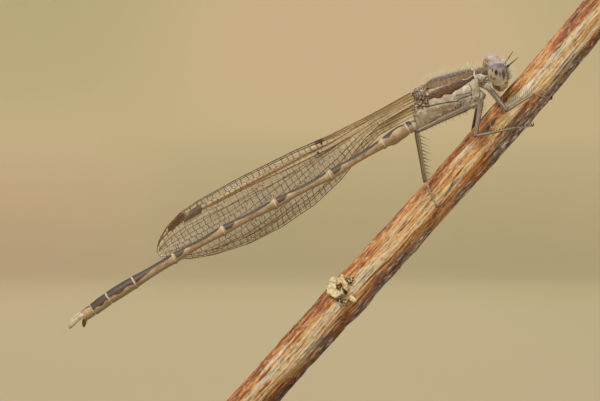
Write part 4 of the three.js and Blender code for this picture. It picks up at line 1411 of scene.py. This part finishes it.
def head_skin():
    lumps = [ball("lump", at, radii, 28, 18) for at, radii in HEAD_LUMPS + LABRUM_LUMPS]
    skin = remeshed(joined("head_skin", lumps), HEAD_VOXEL, 4)
    points = coordinates(skin)
    normals = normals_of(skin)
    x, y, z = points.T
    front = np.clip((x - 0.1) / 0.2, 0, 1)
    lines = np.minimum(np.abs(z + 0.24 + 0.1 * y**2), np.abs(z + 0.66 - 0.15 * y**2))
    lines = np.minimum(lines, np.abs(z + 0.93 - 0.2 * y**2))
    groove = np.exp(-((lines / 0.045) ** 2)) * front * (np.abs(y) < 0.6)
    move_points(skin, points + normals * (0.012 * fractal(points, 4.0) - 0.03 * groove)[:, None])
    fields(
        skin,
        line=np.where((front > 0.5) & (np.abs(y) < 0.62), 0.03 - lines, -1),
        top=z - 0.2 + 0.25 * (x - 0.2),
        lip=np.minimum(-0.93 - z, x - 0.05),
        jaw=np.minimum(-0.75 - z, 0.1 - x),
    )
    # A painted grey sheen on the frons, which the field front carries.
    glint = 1 - np.hypot((z + 0.42) / 0.2, (np.abs(y) - 0.2) / 0.3)
    fields(
        skin,
        front=np.where(x > 0.3, glint * 0.2, -1),
        cheek=np.minimum(np.abs(y) - 0.62, -z + 0.2),
        behind=-x - 0.2,
    )
    skin.data.transform(HEAD)
    return skin


def head_material(settings):
    paint = Finish("Head cuticle", settings.face, roughness=0.45, coat_weight=0.1)
    tree = paint.tree
    grain = paint.grain(3000.0, 14000.0)
    cloud = grain["Cloud"]
    paint.layer("#a39274", paint.ramp(cloud, 0.45, 0.62))
    top = mixed(tree, paint.ramp(cloud, 0.4, 0.6), "#6b5a4a", "#3f3229")
    paint.marks(
        (top, 0.85, "top", 0.06, 0.2, 3500.0),
        # Painted sheen: a grey glint on the frons.
        ("#7f7a85", 0.8, "front", 0.06, 0.1),
        ("#d2cbbb", 0.7, "cheek", 0.05, 0.1),
        ("#c9bd8c", 0.7, "lip", 0.04, 0.06),
        ("#74503c", 0.8, "jaw", 0.05, 0.1),
        ("#bdb3a0", 0.6, "behind", 0.05, 0.12),
        ("#35241a", 0.9, "line", 0.015, 0.04, 5000.0, 0.015),
    )
    return paint.done(grain["Height"], 0.00002, 0.6)


class MakeHead(bpy.types.Operator):
    """Makes the head with its face and mouthparts as one skin"""

    bl_idname = "damselfly.head"
    bl_label = "Head"

    def execute(self, context):
        finish(head_skin(), head_material(context.scene.damselfly.head), ["head", "labrum"])
        return {"FINISHED"}


def eye_ball(side, out):
    """A tall oval eye, a little flatter where it meets the head, with its spots as fields."""
    eye = ball("eye_" + side + "_ball", (0, 0, 0), (1, 1, 1), 96, 64)
    unit = coordinates(eye)
    outward = unit[:, 1] * out
    turn = np.degrees(np.arctan2(unit[:, 0], outward))
    height = np.degrees(np.arcsin(np.clip(unit[:, 2], -1, 1)))
    for kind in ("black", "brown", "violet", "orange"):
        best = np.full(len(unit), -1.0)
        for label, at, rise, wide, tall, strength in EYE_SPOTS:
            if label != kind:
                continue
            off = (turn - at + 180) % 360 - 180
            off = off * np.cos(np.radians(height * 0.7))
            size = 0.011 * min(wide, tall)
            best = np.maximum(
                best, (1 - np.hypot(off / wide, (height - rise) / tall)) * size * (0.5 + 0.5 * strength),
            )
        field(eye, kind, best)
    field(eye, "rise", height / 90)
    field(eye, "edge", 0.6 - np.abs(outward + 0.02 - 0.36 * np.clip(unit[:, 0], 0, 1)) * 3.2)
    flat = np.where(outward < 0, 0.75, 1.0)
    shape = unit * np.array(EYE_RADII) * np.stack([np.ones_like(flat), flat, np.ones_like(flat)], axis=1)
    move_points(eye, shape + np.array((EYE_AT[0], out * EYE_AT[1], EYE_AT[2])))
    eye.data.transform(HEAD)
    return eye


def eye_material(settings):
    paint = Finish("Compound eye", settings.eye, roughness=0.5, coat_weight=0.08)
    tree = paint.tree
    grain = paint.grain(2600.0, 42000.0)
    cloud = grain["Cloud"]
    rise = swung(tree, paint.read("rise"), cloud, 0.3)
    paint.layer("#cfc8ba", paint.ramp(rise, -0.05, -0.35), 0.8)
    # Lowest part of the eye made near white: partly its own pale colour, partly painted light that offsets the
    # shade under the eye.
    paint.layer("#f3eee3", paint.ramp(rise, -0.3, -0.65), 0.85)
    paint.layer("#c4b3a2", paint.ramp(rise, 0.05, 0.3))
    paint.layer(settings.cap, paint.edge("violet", 0.18, 0.12, 4000.0), 0.9)
    rim = paint.scaled(paint.ramp("edge", 0.0, 0.4), paint.ramp(rise, 0.1, 0.4))
    paint.layer("#3d5bb5", maths(tree, "MAXIMUM", rim, paint.ramp(rise, 0.74, 0.86)), 0.85)
    # Painted highlight: a pale blue-white line down the middle of the blue rim towards the top of the eye.
    paint.layer("#b9cdf5", paint.scaled(paint.ramp(rim, 0.7, 1.0), paint.ramp(rise, 0.5, 0.8)), 0.6)
    paint.marks(
        ("#8f6231", 0.88, "orange", 0.14, 0.08, 4000.0),
        ("#6a5633", 0.55, "black", 0.05, 0.02, 6000.0, 0.05),
        ("#46302a", 0.85, "brown", 0.04, 0.09, 6000.0),
        (settings.spot, 1, "black", 0.025, 0.03, 6000.0),
    )
    return paint.done(grain["Height"], 0.000006, 0.35)


class MakeEyes(bpy.types.Operator):
    """Makes the two spotted compound eyes"""

    bl_idname = "damselfly.eyes"
    bl_label = "Eyes"

    def execute(self, context):
        material = eye_material(context.scene.damselfly.head)
        for side, out in (("right", -1), ("left", 1)):
            finish(eye_ball(side, out), material, ["eye_" + side])
        return {"FINISHED"}


class MakeAntennae(bpy.types.Operator):
    """Makes the two feelers, each with two thick base joints and a fine bristle"""

    bl_idname = "damselfly.antennae"
    bl_label = "Antennae"

    def execute(self, context):
        paint = Finish("Antenna cuticle", "#6a5f2e", roughness=0.5)
        grain = paint.grain(4000.0, 16000.0)
        paint.layer("#8b7b56", paint.ramp(grain["Cloud"], 0.45, 0.6))
        paint.layer("#211812", paint.edge("base", 0.05, 0.08))
        material = paint.done(grain["Height"], 0.00001, 0.4)
        for side, out, lift in (("right", -1, 35), ("left", 1, 44)):
            root = Vector((ANTENNA_ROOT[0], out * ANTENNA_ROOT[1], ANTENNA_ROOT[2]))
            rise = math.radians(lift)
            along = Vector((math.cos(rise), out * ANTENNA_SPREAD, math.sin(rise))).normalized()
            fine = np.linspace(-0.06, 1, 60)
            path = [tuple(root + along * (ANTENNA_LONG * s)) for s in fine]
            rings = limb_rings(path, np.interp(fine, *ANTENNA_SHAPE), 16)
            base = np.repeat(0.33 - fine[:, None], 16, axis=1)
            feeler = tube("antenna_" + side + "_feeler", rings, {"base": base})
            feeler.data.transform(HEAD)
            finish(feeler, material, ["antenna_" + side])
        return {"FINISHED"}


# Bristles and hairs: one is modelled, then copied along each place.


def bristle_shape(sides=5, steps=4):
    """A thin tapering spike one unit long, one unit in radius at its foot."""
    deselect()
    bpy.ops.mesh.primitive_circle_add(vertices=sides, radius=1, fill_type="NGON")
    shape = named("bristle")
    bpy.ops.object.mode_set(mode="EDIT")
    taper = [1 - 0.92 * ((i + 1) / steps) ** 1.4 for i in range(steps)]
    last = 1.0
    for size in taper:
        grow(1 / steps, size / last)
        last = size
    leave_edit()
    points = coordinates(shape)
    faces = [tuple(p.vertices) for p in shape.data.polygons]
    bpy.data.objects.remove(shape)
    return points, faces


def grow(rise, wider=1):
    """Extrudes the selected face upward and widens the new one."""
    bpy.ops.mesh.extrude_region_move(TRANSFORM_OT_translate={"value": (0, 0, rise)})
    bpy.ops.transform.resize(value=(wider, wider, 1))


def bristles(name, places):
    """One mesh of bristles. A place gives foot, direction, length, radius, bend and a spot on the unwrap."""
    shape, faces = bristle_shape()
    points, polygons, spots = [], [], []
    for n, (foot, ahead, length, radius, bend, spot) in enumerate(places):
        turn = np.array(Vector(ahead).to_track_quat("Z", "Y").to_matrix())
        local = shape * (radius, radius, length)
        local[:, 0] += bend * length * shape[:, 2] ** 2
        points.append(local @ turn.T + np.asarray(foot))
        polygons += [tuple(i + n * len(shape) for i in face) for face in faces]
        spots.append(
            np.stack([spot[0] + 0.0012 * shape[:, 0], spot[1] + 0.003 * (shape[:, 2] - 0.5)], axis=1)
        )
    mesh = bpy.data.meshes.new(name)
    mesh.from_pydata(np.concatenate(points).tolist(), [], polygons)
    obj = bpy.data.objects.new(name, mesh)
    bpy.context.collection.objects.link(obj)
    flat = np.concatenate(spots)
    corners = np.empty(len(mesh.loops), np.int32)
    mesh.loops.foreach_get("vertex_index", corners)
    mesh.uv_layers.new(name="OFBake").data.foreach_set("uv", flat[corners].astype(np.float32).ravel())
    field(obj, "share", np.tile(shape[:, 2], len(places)))
    return obj


def hair_material(name, root, tip, roughness=0.5):
    paint = Finish(name, root, roughness=roughness)
    grain = paint.grain(6000.0, 20000.0)
    paint.layer(tip, paint.ramp("share", 0.15, 0.9))
    paint.layer(root, paint.ramp(grain["Cloud"], 0.5, 0.7), 0.4)
    return paint.done(grain["Height"], 0.000003, 0.2)


# Legs.


def leg_parts(path):
    """Femur, shin, foot and claws of one leg as closed forms, with stripe and joint fields."""
    hip, bend, knee, ankle, toe, tip = (np.array(p) for p in path)
    parts = []

    def part(points, radii, flat, kind, count=40, sides=20):
        line = smooth_table(points, count)
        thick = smooth_table(radii, count)[:, 0]
        thick[0] = thick[-1] = LIMB_TIP
        rings = limb_rings(line, thick, sides, flat)
        share = np.linspace(0, 1, count)[:, None] * np.ones((1, sides))
        turn = np.degrees(circle(sides))[None, :] * np.ones((count, 1))
        ends = np.minimum(share, 1 - share)
        fields = {"end": 0.06 - ends}
        stripes = {
            "femur": {"stripe": (118, 62), "slate": (196, 344), "half": 30},
            "shin": {"stripe": (110, 70), "slate": (205, 335), "half": 20},
            "foot": {"stripe": (), "slate": (), "half": 0},
            "claw": {"stripe": (90, 270), "slate": (), "half": 180},
        }[kind]
        for label in ("stripe", "slate"):
            stripe = np.full((count, sides), -1.0)
            for at in stripes[label]:
                off = np.abs((turn - at + 180) % 360 - 180)
                stripe = np.maximum(stripe, (stripes["half"] - off) * math.radians(1) * 0.16)
            fields[label] = np.minimum(stripe, (ends - 0.03) * 0.6)
        parts.append(tube(kind, rings, fields))

    def knob(at, radius):
        parts.append(ball("knob", tuple(at), (radius,) * 3, 16, 12))
        fill(parts[-1], stripe=-1, slate=-1, end=0.04)

    inward = (hip - bend) / np.linalg.norm(hip - bend)
    part([hip + inward * 0.1, hip, hip - inward * 0.35], [0.1, 0.19, 0.15, 0.12], 1.0, "foot", 20)
    part([hip - inward * 0.2, bend, knee], [0.1, 0.185, 0.19, 0.175, 0.15, 0.145, 0.11], 0.92, "femur", 60)
    knob(knee, 0.145)
    part(
        [knee, knee * 0.5 + ankle * 0.5, ankle], [0.1, 0.13, 0.115, 0.1, 0.092, 0.096, 0.075], 0.95, "shin",
        60,
    )
    knob(ankle, 0.088)
    points = [ankle, ankle * 0.35 + toe * 0.65, toe * 0.6 + tip * 0.4, tip]
    for start, end in zip(points[:-1], points[1:]):
        part([start, (start + end) / 2, end], [0.05, 0.056, 0.062, 0.075, 0.05], 1.0, "foot", 16, 14)
    ahead = (tip - points[2]) / np.linalg.norm(tip - points[2])
    side = np.cross(ahead, (0, 0, 1))
    side /= np.linalg.norm(side)
    up = np.cross(side, ahead)
    for out in (-1, 1):
        claw = [
            tip - ahead * 0.05,
            tip + ahead * 0.14 + side * out * 0.07 - up * 0.03,
            tip + ahead * 0.2 + side * out * 0.1 + up * 0.12,
            tip + ahead * 0.1 + side * out * 0.12 + up * 0.24,
        ]
        part(claw, [0.06, 0.055, 0.04, 0.01], 1.0, "claw", 16, 10)
    return parts


def comb(start, end, towards, count, long, first, last, lean, radius):
    """Two rows of spines down a limb, long and short in turn, on the side that faces the point towards."""
    start, end, towards = (Vector(p) for p in (start, end, towards))
    down = (end - start).normalized()
    reach = (end - start).length
    inner = (towards - start) - down * (towards - start).dot(down)
    inner.normalize()
    places = []
    for turn in (-38, 38):
        flat = Quaternion(down, math.radians(turn)) @ inner
        ahead = down * math.cos(math.radians(lean)) + flat * math.sin(math.radians(lean))
        for i in range(count):
            share = first + (last - first) * i / (count - 1)
            length = long * (1 - 0.35 * share) * (1 if i % 2 == 0 else 0.72)
            foot = start + down * (reach * share) + flat * 0.08
            places.append((foot, ahead, length, radius, 0.06, (share, 0.5 + turn / 200)))
    return places


class MakeLegs(bpy.types.Operator):
    """Makes the six legs with their spines, feet and claws"""

    bl_idname = "damselfly.legs"
    bl_label = "Legs"

    def execute(self, context):
        settings = context.scene.damselfly.leg
        paint = Finish("Leg cuticle", settings.pale, roughness=0.42, coat_weight=0.15)
        tree = paint.tree
        grain = paint.grain(3200.0, 15000.0)
        paint.layer("#94836c", paint.ramp(grain["Cloud"], 0.45, 0.62))
        paint.layer("#6b5645", grain["Flecks"], 0.4)
        dark = mixed(tree, paint.ramp(grain["Cloud"], 0.4, 0.6), settings.stripe, "#5c4426")
        paint.marks(
            ("#5a4d43", 0.75, "slate", 0.02, 0.04),
            (dark, 0.9, "stripe", 0.018, 0.04),
            ("#3c2d25", 0.7, "end", 0.012, 0.03, 6000.0, -0.025),
        )
        material = paint.done(grain["Height"], 0.000016, 0.5)
        for name, path in LEGS.items():
            leg = joined(f"leg_{name}", leg_parts(path))
            finish(leg, material, [f"{part}_{name}" for part in ("femur", "tibia", "tarsus")])
        spine = hair_material("Leg bristle", "#5d5030", "#938654")
        places = []
        longest = settings.spine * MM
        for _, bend, knee, ankle, toe, _ in LEGS.values():
            places += comb(knee, ankle, bend, 13, longest, 0.08, 0.95, 62, 0.019)
            places += comb(bend, knee, ankle, 15, longest * 0.48, -0.5, 0.96, 80, 0.013)
            places += comb(ankle, toe, bend, 4, 0.16, 0.2, 0.9, 60, 0.014)
        finish(bristles("leg_bristles", places), spine)
        return {"FINISHED"}


# Wings.


MEMBRANE_WALL = 0.012
STIGMA_DOWN = 0.085  # share of the wing's width at the middle of the coloured cell


def wing_line(wing):
    """One step from the root of a wing towards its tip, seen from the side, and the distance between them."""
    run = np.subtract(wing[2], wing[1])
    reach = np.linalg.norm(run)
    return run / reach, reach


def wing_place(wing, s, h, proud=0.0):
    """Points of a wing from the distance along it, the height above its line and the lift off its plane."""
    shape, root, _, root_y, plane_y, bend = wing
    s, h = np.asarray(s, float), np.asarray(h, float)
    run, reach = wing_line(wing)
    out = s * reach * 1.009 / shape["length"]
    t = np.clip(out / bend, 0, 1)
    y = root_y + (plane_y - root_y) * t * t * (3 - 2 * t) + proud
    return np.stack([root[0] + run[0] * out + run[1] * h, y, root[1] + run[1] * out - run[0] * h], axis=-1)


def wing_height(shape, s, share):
    """Height of a point that lies a share of the way down from the leading to the trailing edge."""
    top = np.interp(s, *zip(*shape["costa"]))
    low = np.interp(s, *zip(*shape["trail"]))
    return top + (low - top) * share


def vein_share(vein, s, length):
    start, end, first, last = vein
    t = np.clip((s / length - start) / (end - start), 0, 1)
    return first + (last - first) * t * t * (3 - 2 * t) if first > 0 else first + 0 * t


def pleat(share):
    """How far the membrane stands off its plane: the pleats are sharp near the leading edge."""
    return 0.05 * np.sin(share * 16 + 0.5) * np.exp(-share * 1.5)


def vein_lines(shape, seeded, cell):
    """Every vein of a wing as a list of (distance, share down the width) points, with its radius."""
    length = shape["length"]
    s = np.linspace(0, length, 90)
    knot = shape["nodus"] * length
    lines = [
        (s, 0 * s, 0.034),
        (s, 1 + 0 * s, 0.022),
        (np.array((knot - 0.36, knot - 0.32)), np.array((0.0, 0.07)), 0.075),
        (np.array((knot + 0.2, knot + 0.25)), np.array((0.22, 0.29)), 0.085),
    ]
    rails = []
    for vein in ((0.0, shape["nodus"], 0.26, 0.02), *LONG_VEINS[1:]):
        span = np.linspace(vein[0] * length, vein[1] * length, 70)
        share = vein_share(vein, span, length)
        if vein[0] == 0.0 and vein[1] > 0.9:
            share = np.interp(span / length, *RADIUS_VEIN)
        lines.append((span, share, 0.032 if vein[0] < 0.1 else 0.021))
        rails.append((span, share))
    rails.append((s, 1 + 0 * s))
    at = 0.1 * length
    while at < length * 0.985:
        shares = [0.0]
        for span, share in rails:
            if span[0] <= at <= span[-1]:
                shares.append(float(np.interp(at, span, share)))
        shares = sorted(shares)
        width = float(wing_height(shape, at, 0) - wing_height(shape, at, 1))
        on_spot = shape["stigma"][0] < at < shape["stigma"][1]
        for upper, lower in zip(shares[:-1], shares[1:]):
            gap = (lower - upper) * width
            if gap < 0.07:
                continue
            if upper == 0.0 and (on_spot or at < knot and seeded.random() < 0.6):
                continue
            rows = max(1, round(gap / (cell * 0.8)))
            step = (lower - upper) / rows
            for row in range(rows):
                a, b = upper + row * step, upper + (row + 1) * step
                shift = (cell / 2 if row % 2 else 0) + seeded.uniform(-0.06, 0.06)
                place = min(at + shift, length * 0.99)
                lines.append(
                    (np.array((place, place + seeded.uniform(-0.04, 0.08))), np.array((a, b)), 0.023)
                )
                if row:
                    wave = seeded.uniform(0.1, 0.2) * step
                    run = np.minimum((place, place + cell / 2, place + cell), length * 0.99)
                    lines.append((run, np.array((a, a - wave, a)), 0.019))
        at += cell * seeded.uniform(0.92, 1.06)
    return lines


def vein_mesh(name, wing, seeded, cell):
    """All veins of one wing as round wires, from a curve with one spline for each."""
    shape = wing[0]
    curve = bpy.data.curves.new(name, "CURVE")
    curve.dimensions = "3D"
    curve.bevel_depth = 1.0
    curve.bevel_resolution = 1
    curve.use_fill_caps = True
    for s, share, radius in vein_lines(shape, seeded, cell):
        points = wing_place(wing, s, wing_height(shape, s, share), pleat(share))
        spline = curve.splines.new("POLY")
        spline.points.add(len(points) - 1)
        spline.points.foreach_set("co", np.concatenate([points, np.ones((len(points), 1))], axis=1).ravel())
        taper = 1.4 - 0.6 * np.clip(s / shape["length"], 0, 1) if len(points) > 3 else np.ones(len(points))
        spline.points.foreach_set("radius", radius * taper)
    obj = bpy.data.objects.new(name, curve)
    bpy.context.collection.objects.link(obj)
    only(obj)
    bpy.ops.object.convert(target="MESH")
    wires = named(name)
    run, reach = wing_line(wing)
    flat = coordinates(wires)[:, (0, 2)] - np.array(wing[1])
    s, h = flat @ run * shape["length"] / reach, flat @ np.array((run[1], -run[0]))
    down = (wing_height(shape, s, 0) - h) / (wing_height(shape, s, 0) - wing_height(shape, s, 1))
    near_knot = np.abs(s - shape["nodus"] * shape["length"]) < 0.5
    knot = near_knot & (down < 0.4)
    inner = np.where(knot, 0, np.clip(1.6 - 3.4 * s / shape["length"], 0, 1))
    field(wires, "pale", inner * np.clip(0.5 + 1.5 * np.sin(down * 36), 0, 1))
    field(wires, "knot", knot)
    return wires


def membrane(name, wing):
    """The clear pleated skin of a wing, a grid laid between its edges and given a thin wall."""
    shape = wing[0]
    columns, rows = 150, 26
    deselect()
    bpy.ops.mesh.primitive_grid_add(x_subdivisions=columns, y_subdivisions=rows, size=2)
    obj = named(name)
    s, share = np.meshgrid(np.linspace(0, shape["length"], columns + 1), np.linspace(0, 1, rows + 1))
    move_points(obj, wing_place(wing, s, wing_height(shape, s, share), pleat(share)).reshape(-1, 3))
    field(obj, "span", (s / shape["length"]).ravel())
    field(obj, "down", share.ravel())
    wall = obj.modifiers.new("Wall", "SOLIDIFY")
    wall.thickness, wall.offset = MEMBRANE_WALL, 0
    only(obj)
    bpy.ops.object.modifier_apply(modifier=wall.name)
    return obj


def stigma_cell(name, wing):
    """The thick coloured cell near the wing tip, with slanting ends, a little proud of both faces."""
    shape = wing[0]
    rows, columns = 28, 20
    start, end = shape["stigma"]
    rings, upper = [], []
    turn = circle(columns)
    for t in np.linspace(0, 1, rows):
        body = math.sqrt(max(0.0, 1 - abs(2 * t - 1) ** 8))
        share = STIGMA_DOWN + 0.072 * np.sign(np.cos(turn)) * np.abs(np.cos(turn)) ** 0.5 * max(body, 0.05)
        s = start + (end - start) * t + (share - STIGMA_DOWN) * 1.2
        proud = 0.055 * np.sign(np.sin(turn)) * np.abs(np.sin(turn)) ** 0.7 * max(body, 0.05)
        rings.append(wing_place(wing, s, wing_height(shape, s, share), proud))
        upper.append((STIGMA_DOWN - share) * 3)
    deep = np.full((rows, columns), 1.0 if shape is HINDWING else 0.0)
    return tube(name, rings, {"upper": upper, "deep": deep})


class MakeWings(bpy.types.Operator):
    """Makes the four closed wings: membranes, veins and the coloured cells near their tips"""

    bl_idname = "damselfly.wings"
    bl_label = "Wings"

    def execute(self, context):
        settings = context.scene.damselfly.wing
        clear = Finish("Wing membrane", settings.membrane, roughness=0.18, coat_weight=0.1)
        tree = clear.tree
        place = object_place(tree)
        cloud = noisy(tree, place, 900.0, 3.0)
        ripple = noisy(tree, place, 3500.0, 2.0)
        clear.layer("#d8caaa", clear.ramp(cloud, 0.45, 0.65))
        down, span = clear.read("down"), clear.read("span")
        band = clear.scaled(clear.ramp(down, 0.21, 0.18), clear.ramp(down, 0.12, 0.15))
        golden = clear.scaled(band, clear.ramp(span, 0.95, 0.8))
        clear.layer("#96682e", golden)
        base = maths(tree, "ADD", clear.ramp(span, 0.3, 0.0, 0.0, 0.12), clear.scaled(golden, 0.3))
        cover = maths(
            tree, "ADD", clear.ramp(cloud, 0.3, 0.7, settings.clear * 0.8, settings.clear * 1.25), base,
        )
        tip = clear.scaled(clear.ramp(span, 0.76, 0.8), clear.ramp(down, 0.26, 0.2))
        cover = clear.scaled(cover, maths(tree, "SUBTRACT", 1.0, clear.scaled(tip, 0.8)))
        tree.links.new(cover, clear.shader.inputs["Alpha"])
        film = clear.done(ripple, 0.00003, 0.5)

        wire = Finish("Wing vein", settings.vein, roughness=0.45)
        grain = wire.grain(2500.0, 16000.0)
        wire.layer("#8a6a42", wire.ramp(grain["Cloud"], 0.42, 0.62))
        wire.layer("#3f2b1b", wire.ramp(grain["Cloud"], 0.42, 0.3), 0.4)
        wire.layer("#cfb173", wire.read("pale"), 0.85)
        wire.layer("#3a2519", wire.read("knot"), 0.8)
        wire = wire.done(grain["Height"], 0.000006, 0.4)

        spot = Finish("Wing spot", "#71502c", roughness=0.4)
        grain = spot.grain(3000.0, 15000.0)
        spot.layer("#634324", spot.ramp(grain["Cloud"], 0.45, 0.6))
        spot.layer(settings.stigma, spot.edge("upper", 0.05, 0.05))
        spot.layer("#2f1b0d", spot.read("deep"), 0.85)
        spot = spot.done(grain["Height"], 0.00001, 0.4)

        for n, (name, wing) in enumerate(WINGS.items()):
            seeded = random.Random(20 + min(n, 3 - n))
            finish(membrane(name + "_membrane", wing), film, [name])
            finish(vein_mesh(name + "_veins", wing, seeded, settings.cell * MM), wire)
            finish(stigma_cell(name + "_spot", wing), spot)
        return {"FINISHED"}


# Hairs.


def hair_places(skin, count, seeded, keep, length, radius, lean, wild):
    """Seeded places on a finished skin where keep(point, normal) in the body frame lets a hair grow."""
    back = BODY.inverted()
    turn = back.to_3x3()
    faces = skin.data.polygons
    places = []
    tries = 0
    while len(places) < count and tries < count * 60:
        tries += 1
        face = faces[seeded.randrange(len(faces))]
        point = back @ (face.center * MM)
        normal = turn @ face.normal
        share = keep(point, normal)
        if seeded.random() >= share:
            continue
        ahead = normal + Vector(lean) + Vector([seeded.gauss(0, wild) for _ in range(3)])
        world = (BODY.to_3x3() @ ahead).normalized()
        foot = face.center * MM - world * 0.02
        spot = (0.08 + 0.11 * point.x, 0.5 + 0.12 * math.atan2(point.y, point.z))
        places.append(
            (foot, world, length * seeded.uniform(0.45, 1.0), radius, seeded.uniform(-0.12, 0.12), spot)
        )
    return places


class MakeHairs(bpy.types.Operator):
    """Grows the fine pale hairs of the back, the breast and the head"""

    bl_idname = "damselfly.hairs"
    bl_label = "Hairs"

    def execute(self, context):
        settings = context.scene.damselfly.body
        seeded = random.Random(11)
        pale = hair_material("Pale hair", "#ddd2b6", "#fbf6e8", 0.45)
        longest = settings.hair_length * MM
        count = settings.hairs
        thorax, head = bpy.data.objects["thorax_skin"], bpy.data.objects["head_skin"]

        def on_back(point, normal):
            return 1.0 if normal.z > 0.55 and point.x > 1.7 and point.z > 0.7 and abs(point.y) < 0.4 else 0.0

        def on_breast(point, normal):
            return 1.0 if normal.z < 0.1 and 1.5 < point.x < 6.4 and point.z < 0.4 else 0.0

        places = hair_places(thorax, int(count * 0.4), seeded, on_back, longest, 0.008, (0.25, 0, 0.3), 0.2)
        places += hair_places(
            thorax, int(count * 0.38), seeded, on_breast, longest * 0.6, 0.0065, (-0.1, 0, -0.2), 0.25,
        )
        finish(bristles("thorax_hairs", places), pale)

        def on_head(point, normal):
            return 1.0 if abs(point.y) < 1.05 and normal.x + normal.z > 0.1 else 0.15

        places = hair_places(
            head, int(count * 0.36), seeded, on_head, longest * 0.9, 0.0075, (0.35, 0, 0.3), 0.25,
        )

        def on_face(point, normal):
            return 1.0 if normal.x > 0.35 and point.x > 7.75 else 0.0

        places += hair_places(head, int(count * 0.22), seeded, on_face, longest, 0.0075, (0.5, 0, 0.15), 0.25)
        finish(bristles("head_hairs", places), pale)
        return {"FINISHED"}


# Stage.


BOWL_RADIUS, BOWL_SWEEP, BOWL_WALL = 0.42, 0.28, 0.35
CAMERA_AT = (-0.00328, -0.15, 0.02064)


class MakeStage(bpy.types.Operator):
    """Makes the pale bowl-shaped floor and backdrop, the soft lights and the camera"""

    bl_idname = "damselfly.stage"
    bl_label = "Stage"

    def execute(self, context):
        settings = context.scene.damselfly.stage
        deselect()
        bpy.ops.mesh.primitive_circle_add(
            vertices=96, radius=BOWL_RADIUS, location=(0, 0, 0), fill_type="NGON",
        )
        bowl = named("backdrop")
        bpy.ops.object.mode_set(mode="EDIT")
        width, last = BOWL_RADIUS, 0.0
        for turn in range(8, 97, 8):
            angle = math.radians(min(turn, 90))
            wide, high = BOWL_RADIUS + BOWL_SWEEP * math.sin(angle), BOWL_SWEEP * (1 - math.cos(angle))
            grow(high - last, wide / width)
            width, last = wide, high
        bpy.ops.mesh.extrude_region_move(TRANSFORM_OT_translate={"value": (0, 0, BOWL_WALL)})
        bpy.ops.mesh.delete(type="ONLY_FACE")
        leave_edit(inside=True)
        bpy.ops.object.shade_smooth()
        paint = Finish("Backdrop paper", settings.backdrop, roughness=0.9)
        place = object_place(paint.tree)
        drawn = add(paint.tree, "Mapping", {"Vector": place, "Scale": (1.0, 0.08, 1.0)}).outputs[0]
        tooth = noisy(paint.tree, drawn, 9.0, 0.0)
        paint.layer("#d3b896", paint.ramp(tooth, 0.45, 0.75), 0.9)
        paint.layer("#bcb287", paint.ramp(tooth, 0.5, 0.2), 0.9)
        # Painted shade: the floor and the foot of the wall are mixed towards black, less the higher they rise,
        # so the wall stays bright.
        rise = add(paint.tree, "SeparateXYZ", {0: place}).outputs[2]
        paint.colour = mixed(paint.tree, paint.ramp(rise, 0.0, 0.045, 0.65, 1.0), "#000000", paint.colour)
        bowl.data.materials.append(paint.done())

        world = bpy.data.worlds.new("Soft room")
        context.scene.world = world
        world.use_nodes = True
        put(world.node_tree.nodes["Background"], {"Color": (0.95, 0.97, 1.0), "Strength": 0.55})
        middle = Vector((0.0, 0.0, 0.022))
        for name, place, size, power, tint in (
            ("key_light", (-0.16, -0.26, 0.34), 0.22, settings.key, (1.0, 0.97, 0.92)),
            ("fill_light", (0.34, -0.24, 0.16), 0.3, settings.fill, (0.95, 0.97, 1.0)),
            ("back_light", (0.05, 0.34, 0.3), 0.3, settings.fill, (1.0, 0.98, 0.95)),
            ("paper_light", (0.0, 0.2, 0.5), 0.4, settings.paper, (1.0, 0.98, 0.95)),
        ):
            deselect()
            bpy.ops.object.light_add(type="AREA", location=place)
            light = bpy.context.object
            light.name = name
            light.data.shape, light.data.size, light.data.energy = "DISK", size, power
            light.data.color = tint
            light.rotation_mode = "QUATERNION"
            aim = Vector((0, 0.75, 0.02)) if name == "paper_light" else middle
            light.rotation_quaternion = (aim - Vector(place)).to_track_quat("-Z", "Y")
        deselect()
        bpy.ops.object.camera_add(location=CAMERA_AT, rotation=(math.radians(90), 0, 0))
        camera = bpy.context.object
        camera.name = "photo_camera"
        camera.data.lens, camera.data.sensor_width = settings.lens, 36
        camera.data.clip_start, camera.data.clip_end = 0.005, 5
        context.scene.camera = camera
        context.scene.view_settings.view_transform = "Standard"
        return {"FINISHED"}


class DamselflyPanel(bpy.types.Panel):
    """Lists the pieces of the damselfly"""

    bl_idname = "VIEW3D_PT_damselfly"
    bl_label = "Damselfly"
    bl_space_type = "VIEW_3D"
    bl_region_type = "UI"
    bl_category = "Damselfly"

    def draw(self, context):
        for operator in PIECES:
            self.layout.operator(operator.bl_idname)
        for part in ("stand", "stem", "body", "head", "leg", "wing", "stage"):
            box = self.layout.box()
            settings = getattr(context.scene.damselfly, part)
            for label in settings.__annotations__:
                box.prop(settings, label)


PIECES = (
    MakeStage, MakeStand, MakeStem, MakeAbdomen, MakeClaspers, MakeThorax, MakeHead, MakeEyes, MakeAntennae,
    MakeLegs, MakeWings, MakeHairs,
)
GROUPS = (
    StandSettings, StemSettings, BodySettings, HeadSettings, LegSettings, WingSettings, StageSettings,
    DamselflySettings,
)


def register():
    for kind in (*GROUPS, *PIECES, DamselflyPanel):
        bpy.utils.register_class(kind)
    bpy.types.Scene.damselfly = PointerProperty(type=DamselflySettings)


def unregister():
    del bpy.types.Scene.damselfly
    for kind in reversed((*GROUPS, *PIECES, DamselflyPanel)):
        bpy.utils.unregister_class(kind)


def main():
    register()
    for piece in PIECES:
        getattr(bpy.ops.damselfly, piece.bl_idname.split(".")[1])()


if __name__ == "__main__":
    main()
